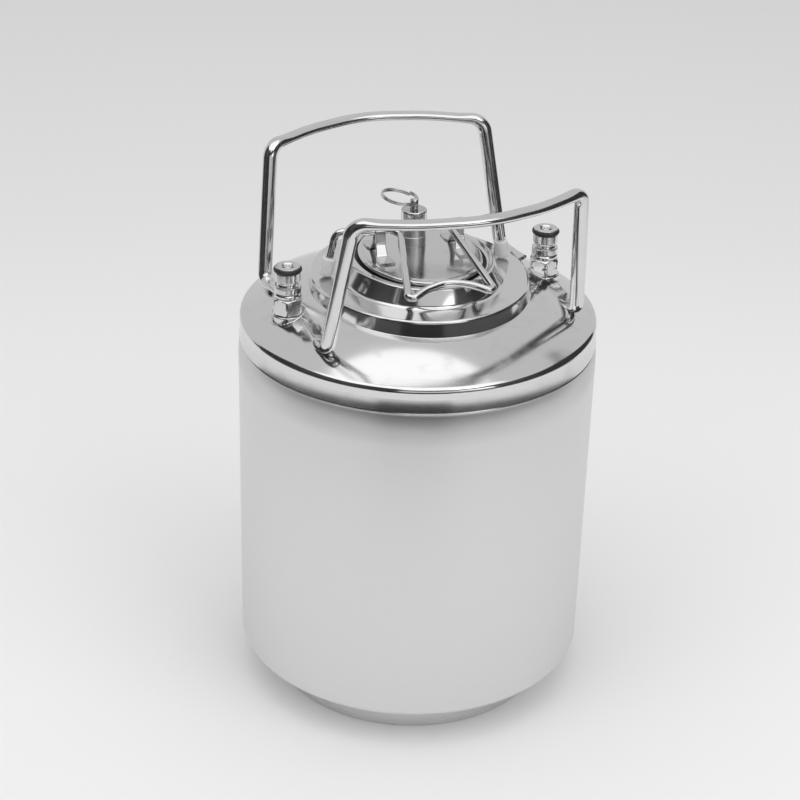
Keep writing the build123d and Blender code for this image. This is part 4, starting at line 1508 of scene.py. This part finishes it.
@dataclass
class Post:
    """A ball-lock post on its port, with its poppet, seals, spring and dip tube."""

    fluid: Fluid
    post_x: float = 88.0
    port_r: float = 10.3
    port_low_z: float = 256.0
    port_z: float = 270.5
    port_bore_r: float = 4.6
    neck_r: float = 7.0
    neck_z: float = 279.4
    hex_flats: float = 17.2
    hex_turn: float = 37.0
    hex_z: float = 281.1
    bevels: tuple[tuple[float, float], ...] = (
        (0.0, 8.7), (0.25, 9.2), (0.7, 9.6), (1.2, 9.7), (9.1, 9.7), (9.5, 9.55), (9.9, 9.2), (10.25, 8.75),
        (10.6, 8.2),
    )
    notched_bevels: tuple[int, ...] = (0, 2, 3, 4, 6, 8)
    notch_rows: Point = (0.3, 0.75, 0.95)
    notch_half_angle: float = 11.0
    notch_fade: float = 2.0
    collar_r: float = 8.3
    collar_z: float = 288.7
    score: Point = (2.1, 2.9, 3.7)
    score_depth: float = 0.6
    waist_r: float = 6.3
    barrel_r: float = 7.9
    barrel_z: float = 292.0
    groove_r: float = 6.5
    groove_z: float = 297.7
    groove_top_z: float = 300.5
    oring_r: float = 7.65
    oring_half: tuple[float, float] = (1.15, 1.38)
    nose_r: float = 7.7
    top_z: float = 301.3
    socket_r: float = 7.1
    socket_z: float = 284.0
    bore_r: float = 5.3
    chamber_z: float = 298.2
    spring_top_z: float = 293.4
    spring_r: float = 3.7
    spring_turns: float = 4.0
    throat_r: float = 3.3
    throat_top_r: float = 4.5
    notch_depth: float = 0.9
    pole_r: float = 0.3
    tail_r: float = 1.8
    tail_z: float = 291.4
    disc_r: float = 4.9
    disc_sheet: float = 2.0
    pin_r: float = 2.8
    pin_z: float = 301.0
    dimple_r: float = 1.1
    bead: tuple[float, float] = (0.7, 0.35)
    bead_waves: tuple[Point, ...] = ((0.10, 34, 0), (0.06, 13, 1))
    body: str = "keg"

    @property
    def centre(self) -> Point:
        """The post's axis: gas at +X, liquid at -X."""
        return (self.post_x if self.fluid is Fluid.GAS else -self.post_x, 0.0, 0.0)

    def port(self) -> Skin:
        """The welded port: a turned flange with a neck inside the post.

        Returns:
            The port on its axis.
        """
        return turned([
            (self.port_bore_r, self.port_low_z, 0.2), (self.port_r - 1.0, self.port_low_z, 0.4),
            (self.port_r - 0.2, self.port_low_z + 5, 0.4), (self.port_r, self.port_z - 0.2, 0.7),
            (self.neck_r, self.port_z - 0.05, 0.1), (self.neck_r, self.neck_z, 0.3),
            (self.port_bore_r, self.neck_z, 0.3),
        ], self.centre, 6, 96)

    def weld(self) -> Skin:
        """The weld round the port: a low bead on the dome, its edge waved by the torch.

        Returns:
            The bead.
        """
        t = angles(180)
        p = angles(14)[:, None]
        wave = sum(size * np.sin(count * t + start) for size, count, start in self.bead_waves)
        out, up = self.bead
        r = self.port_r + 0.1 + (out + wave) * np.cos(p)
        x, y = self.centre[0] + r * np.cos(t), r * np.sin(t)
        z = DOME.height(np.hypot(x, y)) + (up + 0.5 * wave) * np.sin(p)
        return skin(np.stack([x, y, z], -1), True)

    def hexagon(self) -> Skin:
        """The spanner flats.

        At an angle t the hexagon's radius is (flats / 2) / cos(d), d being the angle from the nearest
        flat's middle, and at each height it is held inside the bevels, rows of rise and radius. The gas
        post's corners are cut in as well, notch_depth deep at half height.

        Returns:
            The hexagon, with its socket.
        """
        t = angles(240)
        d = np.mod(t - math.radians(self.hex_turn) + math.pi / 6, math.pi / 3) - math.pi / 6
        side = self.hex_flats / 2 / np.cos(d)
        table = np.array(self.bevels)
        heights, limit = table[:, 0] + self.port_z, table[:, 1, None] + 0 * t
        if self.fluid is Fluid.GAS:
            middle = (self.port_z + self.hex_z) / 2
            _, full, edge = self.notch_rows
            rows = np.array([-v for v in self.notch_rows[::-1]] + list(self.notch_rows))
            heights = np.sort(np.append(heights, middle + rows))
            rises, radii = table[list(self.notched_bevels)].T
            limit = np.interp(heights, self.port_z + rises, radii)
            cut = self.notch_depth * np.clip((edge - np.abs(heights - middle)) / (edge - full), 0, 1)
            reach = math.radians(self.notch_half_angle) - np.abs(np.abs(d) - math.pi / 6)
            limit = limit[:, None] - cut[:, None] * np.clip(reach / math.radians(self.notch_fade), 0, 1)
        r = np.minimum(side, limit)
        bore = np.full_like(r[:2], self.socket_r)
        radii = np.concatenate([r, bore])
        z = np.concatenate([heights, [self.hex_z - 0.1, self.port_z + 0.1]])[:, None] + 0 * t
        x, y = self.centre[0] + radii * np.cos(t), radii * np.sin(t)
        return skin(np.stack([x, y, z], -1), True)

    def barrel(self) -> Skin:
        """The post above its flats: a scored collar, the locking groove, the barrel and its nose.

        Returns:
            The upper post, with its bore.
        """
        return turned([
            (self.socket_r, self.hex_z - 0.6, 0.05), (self.collar_r - 0.5, self.hex_z - 0.6, 0.05),
            (self.collar_r - 0.5, self.hex_z + 0.05, 0.1), (self.collar_r, self.hex_z + 0.5, 0.2),
            (self.collar_r, self.hex_z + self.score[0], 0.2),
            (self.collar_r - self.score_depth, self.hex_z + self.score[1], 0.15),
            (self.collar_r, self.hex_z + self.score[2], 0.2), (self.collar_r, self.collar_z, 0.5),
            (self.waist_r + 0.4, self.collar_z + 0.2, 0.3),
            (self.waist_r, self.collar_z + 1.2, 1.0), (self.waist_r, self.barrel_z - 1.2, 1.0),
            (self.waist_r + 0.4, self.barrel_z - 0.2, 0.3), (self.barrel_r, self.barrel_z, 0.4),
            (self.barrel_r, self.groove_z, 0.3), (self.groove_r, self.groove_z, 0.2),
            (self.groove_r, self.groove_top_z, 0.2), (self.nose_r, self.groove_top_z, 0.25),
            (self.nose_r, self.top_z, 0.45), (self.throat_top_r, self.top_z, 0.4),
            (self.throat_r, self.top_z - 1.0, 0.3), (self.throat_r, self.chamber_z, 0.1),
            (self.bore_r, self.chamber_z, 0.2), (self.bore_r, self.socket_z, 0.2),
            (self.socket_r, self.socket_z, 0.2),
        ], self.centre, 5, 112)

    def ring(self) -> Skin:
        """The O-ring under the nose: an oval section turned about the post.

        Returns:
            The O-ring.
        """
        p = angles(24)
        middle = (self.groove_z + self.groove_top_z) / 2
        half_r, half_z = self.oring_half
        profile = np.stack([self.oring_r + half_r * np.cos(p), middle + half_z * np.sin(p)], -1)
        return lathe(profile, self.centre, 112, True)

    def poppet(self) -> Skin:
        """The poppet: a tail, a flange and the pin that shows in the post's throat.

        Returns:
            The poppet.
        """
        disc = self.spring_top_z + self.disc_sheet
        return turned([
            (self.pole_r, self.tail_z, 0), (self.tail_r, self.tail_z, 0.3),
            (self.tail_r + 0.4, self.spring_top_z, 0.1), (self.disc_r, self.spring_top_z, 0.2),
            (self.disc_r, disc, 0.2), (self.pin_r, disc, 0.2), (self.pin_r, self.pin_z, 0.5),
            (self.dimple_r, self.pin_z, 0.3), (self.dimple_r - 0.3, self.pin_z - 0.4, 0.2),
            (self.pole_r, self.pin_z - 0.4, 0),
        ], self.centre, 5, 64, False)

    def build(self) -> None:
        """Builds and dresses the post."""
        kind = self.fluid.value
        put(f"{kind}_flange", self.port(), self.body, TURNED, [f"{kind}_port"], self.centre)
        put(f"{kind}_weld", self.weld(), self.body, POLISHED, (), self.centre)
        plug = self.hexagon().joined(self.barrel())
        put(f"{kind}_plug", plug, self.body, TURNED, [f"{kind}_post"], self.centre)
        put(f"{kind}_ring", self.ring(), self.body, RUBBER, [f"{kind}_post_oring"])
        put(f"{kind}_pin", self.poppet(), f"{kind}_poppet", TURNED, [f"{kind}_poppet"], self.centre)
        dress(f"{kind}_poppet_seal", RUBBER)
        Spring(f"{kind}_spring", f"{kind}_poppet_spring", self.body, f"{kind}_poppet_press", self.centre,
               self.socket_z, self.spring_top_z, self.spring_r, self.spring_turns, FixedEnd.LOW).build()
        dress(f"{kind}_dip_tube", TUBE)
        dress(f"{kind}_tube_oring", RUBBER)


# --- studio -----------------------------------------------------------------------------------------


@dataclass(frozen=True)
class Card:
    """A dark card bent about the keg, all in metres, from one heading to another in degrees from X."""

    name: str
    radius: float
    low: float
    high: float
    start: float
    end: float
    tone: float = 0.03

    def mesh(self) -> bpy.types.Mesh:
        """The card's surface: (r cos t, r sin t, z), one strip of faces high.

        Returns:
            The card, in its felt.
        """
        t = np.radians(np.linspace(self.start, self.end, 64))
        ring = np.stack([self.radius * np.cos(t), self.radius * np.sin(t)], -1)
        low = np.column_stack([ring, np.full(len(t), self.low + 0.001)])
        high = np.column_stack([ring, np.full(len(t), self.high)])
        count = len(t)
        faces = [[k, k + 1, count + k + 1, count + k] for k in range(count - 1)]
        finish, graph = new_material(f"{self.name}_felt")
        colour = graph.blend(graph.noise(graph.place(), 4.0), grey(self.tone * 0.7), grey(self.tone * 1.3))
        graph.principled({"Base Color": colour, "Roughness": 0.9})
        return new_mesh(self.name, np.concatenate([low, high]), faces, finish)


@dataclass(frozen=True)
class Lamp:
    """A soft box: a round lamp aimed at a point, all in metres."""

    name: str
    place: Point
    size: float
    watts: float
    aim: Point = (0.0, 0.0, 0.2)

    def light(self) -> None:
        """Hangs the lamp."""
        data = bpy.data.lights.new(self.name, "AREA")
        data.shape = "DISK"
        data.size = self.size
        data.energy = self.watts
        lamp = linked(self.name, data)
        lamp.location = self.place
        way = Vector(self.aim) - Vector(self.place)
        lamp.rotation_euler = way.to_track_quat("-Z", "Y").to_euler()


@dataclass
class Studio:
    """A pale sweep, soft boxes, dark cards for the metal to mirror, and the camera."""

    floor_r: float = 1.75
    # The floor's colour goes from near_tone to far_tone between near_y and far_y metres along the camera's
    # heading: painted shade for the light falling off to the back.
    near_tone: float = 0.89
    far_tone: float = 0.83
    near_y: float = 0.20
    far_y: float = 0.85
    backdrop: float = 0.66
    fill: float = 0.655
    cards: tuple[Card, ...] = (
        Card("front_card", 0.62, 0.03, 0.215, 224.0, 266.0, 0.02),
        Card("near_left_card", 0.62, 0.06, 0.215, 141.0, 224.0, 0.08),
        Card("near_right_card", 0.62, 0.06, 0.215, 266.0, 351.0, 0.08),
        Card("high_card", 1.30, 0.80, 1.25, 234.0, 294.0),
        Card("low_card", 1.25, 0.0, 0.24, 131.0, 381.0),
        Card("left_card", 1.30, 0.24, 1.70, 136.0, 236.0),
        Card("right_card", 1.30, 0.24, 1.50, 292.0, 381.0),
    )
    eye: Point = (-0.46531, -1.02105, 0.77773)
    heading: float = 23.989
    pitch: float = 27.54
    roll: float = 1.571
    lens: float = 87.67
    sensor: float = 36.0
    clip_near: float = 0.05
    lamps: tuple[Lamp, ...] = (
        Lamp("top_box", (-0.26, -0.34, 1.9), 2.5, 10.8),
        Lamp("left_box", (-2.2, -0.6, 1.6), 2.0, 8.0),
        Lamp("right_box", (0.9, -1.9, 1.5), 2.2, 12.5),
    )

    def floor(self) -> None:
        """A round floor whose colour turns darker to the back, as painted shade for the light falling off
        with distance.
        """
        t = angles(96)
        points = np.stack([self.floor_r * np.cos(t), self.floor_r * np.sin(t), 0 * t], -1)
        finish, graph = new_material("floor_paper")
        grain = graph.noise(graph.place(), 3.0, 5.0)
        turned = graph.node("ShaderNodeVectorRotate", {"rotation_type": "Z_AXIS"}, {
            "Vector": graph.place(),
            "Angle": math.radians(self.heading),
        })
        _, away, _ = graph.parts(turned.outputs["Vector"])
        # Painted shade: darker away from the camera, with a little grain.
        share = away.ramp(self.near_y, self.far_y) + (grain - 0.5) * 0.15
        colour = graph.blend(share, grey(self.near_tone), grey(self.far_tone))
        graph.principled({"Base Color": colour, "Roughness": 0.9, "Specular IOR Level": 0.1})
        self.add("floor", new_mesh("floor", points, [list(range(len(t)))], finish))

    def flags(self) -> None:
        """Dark cards on the camera's side, which only the metal sees."""
        for card in self.cards:
            thing = self.add(card.name, card.mesh())
            thing.visible_camera = False
            thing.visible_diffuse = False
            thing.visible_shadow = False

    def add(self, name: str, mesh: bpy.types.Mesh) -> bpy.types.Object:
        """Puts a mesh on the stage.

        Args:
            name: The object's name.
            mesh: Its mesh.

        Returns:
            The object.
        """
        thing = linked(name, mesh)
        return thing

    def sky(self) -> None:
        """The world: the pale backdrop as seen and mirrored, and a plain level of light."""
        world = bpy.data.worlds.new("studio")
        world.use_nodes = True
        bpy.context.scene.world = world
        graph = Graph(world.node_tree)
        rays = graph.node("ShaderNodeLightPath").outputs
        seen = graph.maths("MAXIMUM", rays["Is Camera Ray"], rays["Is Glossy Ray"])
        seen = graph.maths("MAXIMUM", seen, rays["Is Transmission Ray"])
        colour = graph.blend(seen, grey(self.fill), grey(self.backdrop))
        shine = graph.node("ShaderNodeBackground", None, {"Color": colour, "Strength": 1.0})
        graph.node("ShaderNodeOutputWorld", None, {"Surface": shine.outputs["Background"]})

    def camera(self) -> None:
        """The camera from its heading, pitch and roll.

        Ahead is (sin h cos p, cos h cos p, -sin p), right starts level, and roll turns right and up
        about ahead.
        """
        h, p, r = (math.radians(v) for v in (self.heading, self.pitch, self.roll))
        ahead = Vector((math.sin(h) * math.cos(p), math.cos(h) * math.cos(p), -math.sin(p)))
        level = Vector((math.cos(h), -math.sin(h), 0.0))
        upright = level.cross(ahead)
        right = level * math.cos(r) + upright * math.sin(r)
        up = upright * math.cos(r) - level * math.sin(r)
        data = bpy.data.cameras.new("camera")
        data.sensor_width = self.sensor
        data.lens = self.lens
        data.clip_start = self.clip_near
        camera = linked("camera", data)
        basis = Matrix((right, up, -ahead)).transposed()
        camera.matrix_world = Matrix.Translation(self.eye) @ basis.to_4x4()
        bpy.context.scene.camera = camera

    def build(self) -> None:
        """Sets the stage."""
        bpy.context.scene.view_settings.view_transform = "Standard"
        self.floor()
        self.flags()
        self.sky()
        for lamp in self.lamps:
            lamp.light()
        self.camera()


def main() -> None:
    """Builds the keg from its sub-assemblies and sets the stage."""
    logging.basicConfig(level=logging.INFO, format="%(name)s %(message)s")
    parts = [
        Vessel(),
        HatchRing(),
        Lid(),
        Bail(),
        ReliefValve(),
        Handle(Side.FRONT),
        Handle(Side.REAR),
        Post(Fluid.GAS),
        Post(Fluid.LIQUID),
    ]
    for part in parts:
        part.build()
    Studio().build()


if __name__ == "__main__":
    main()
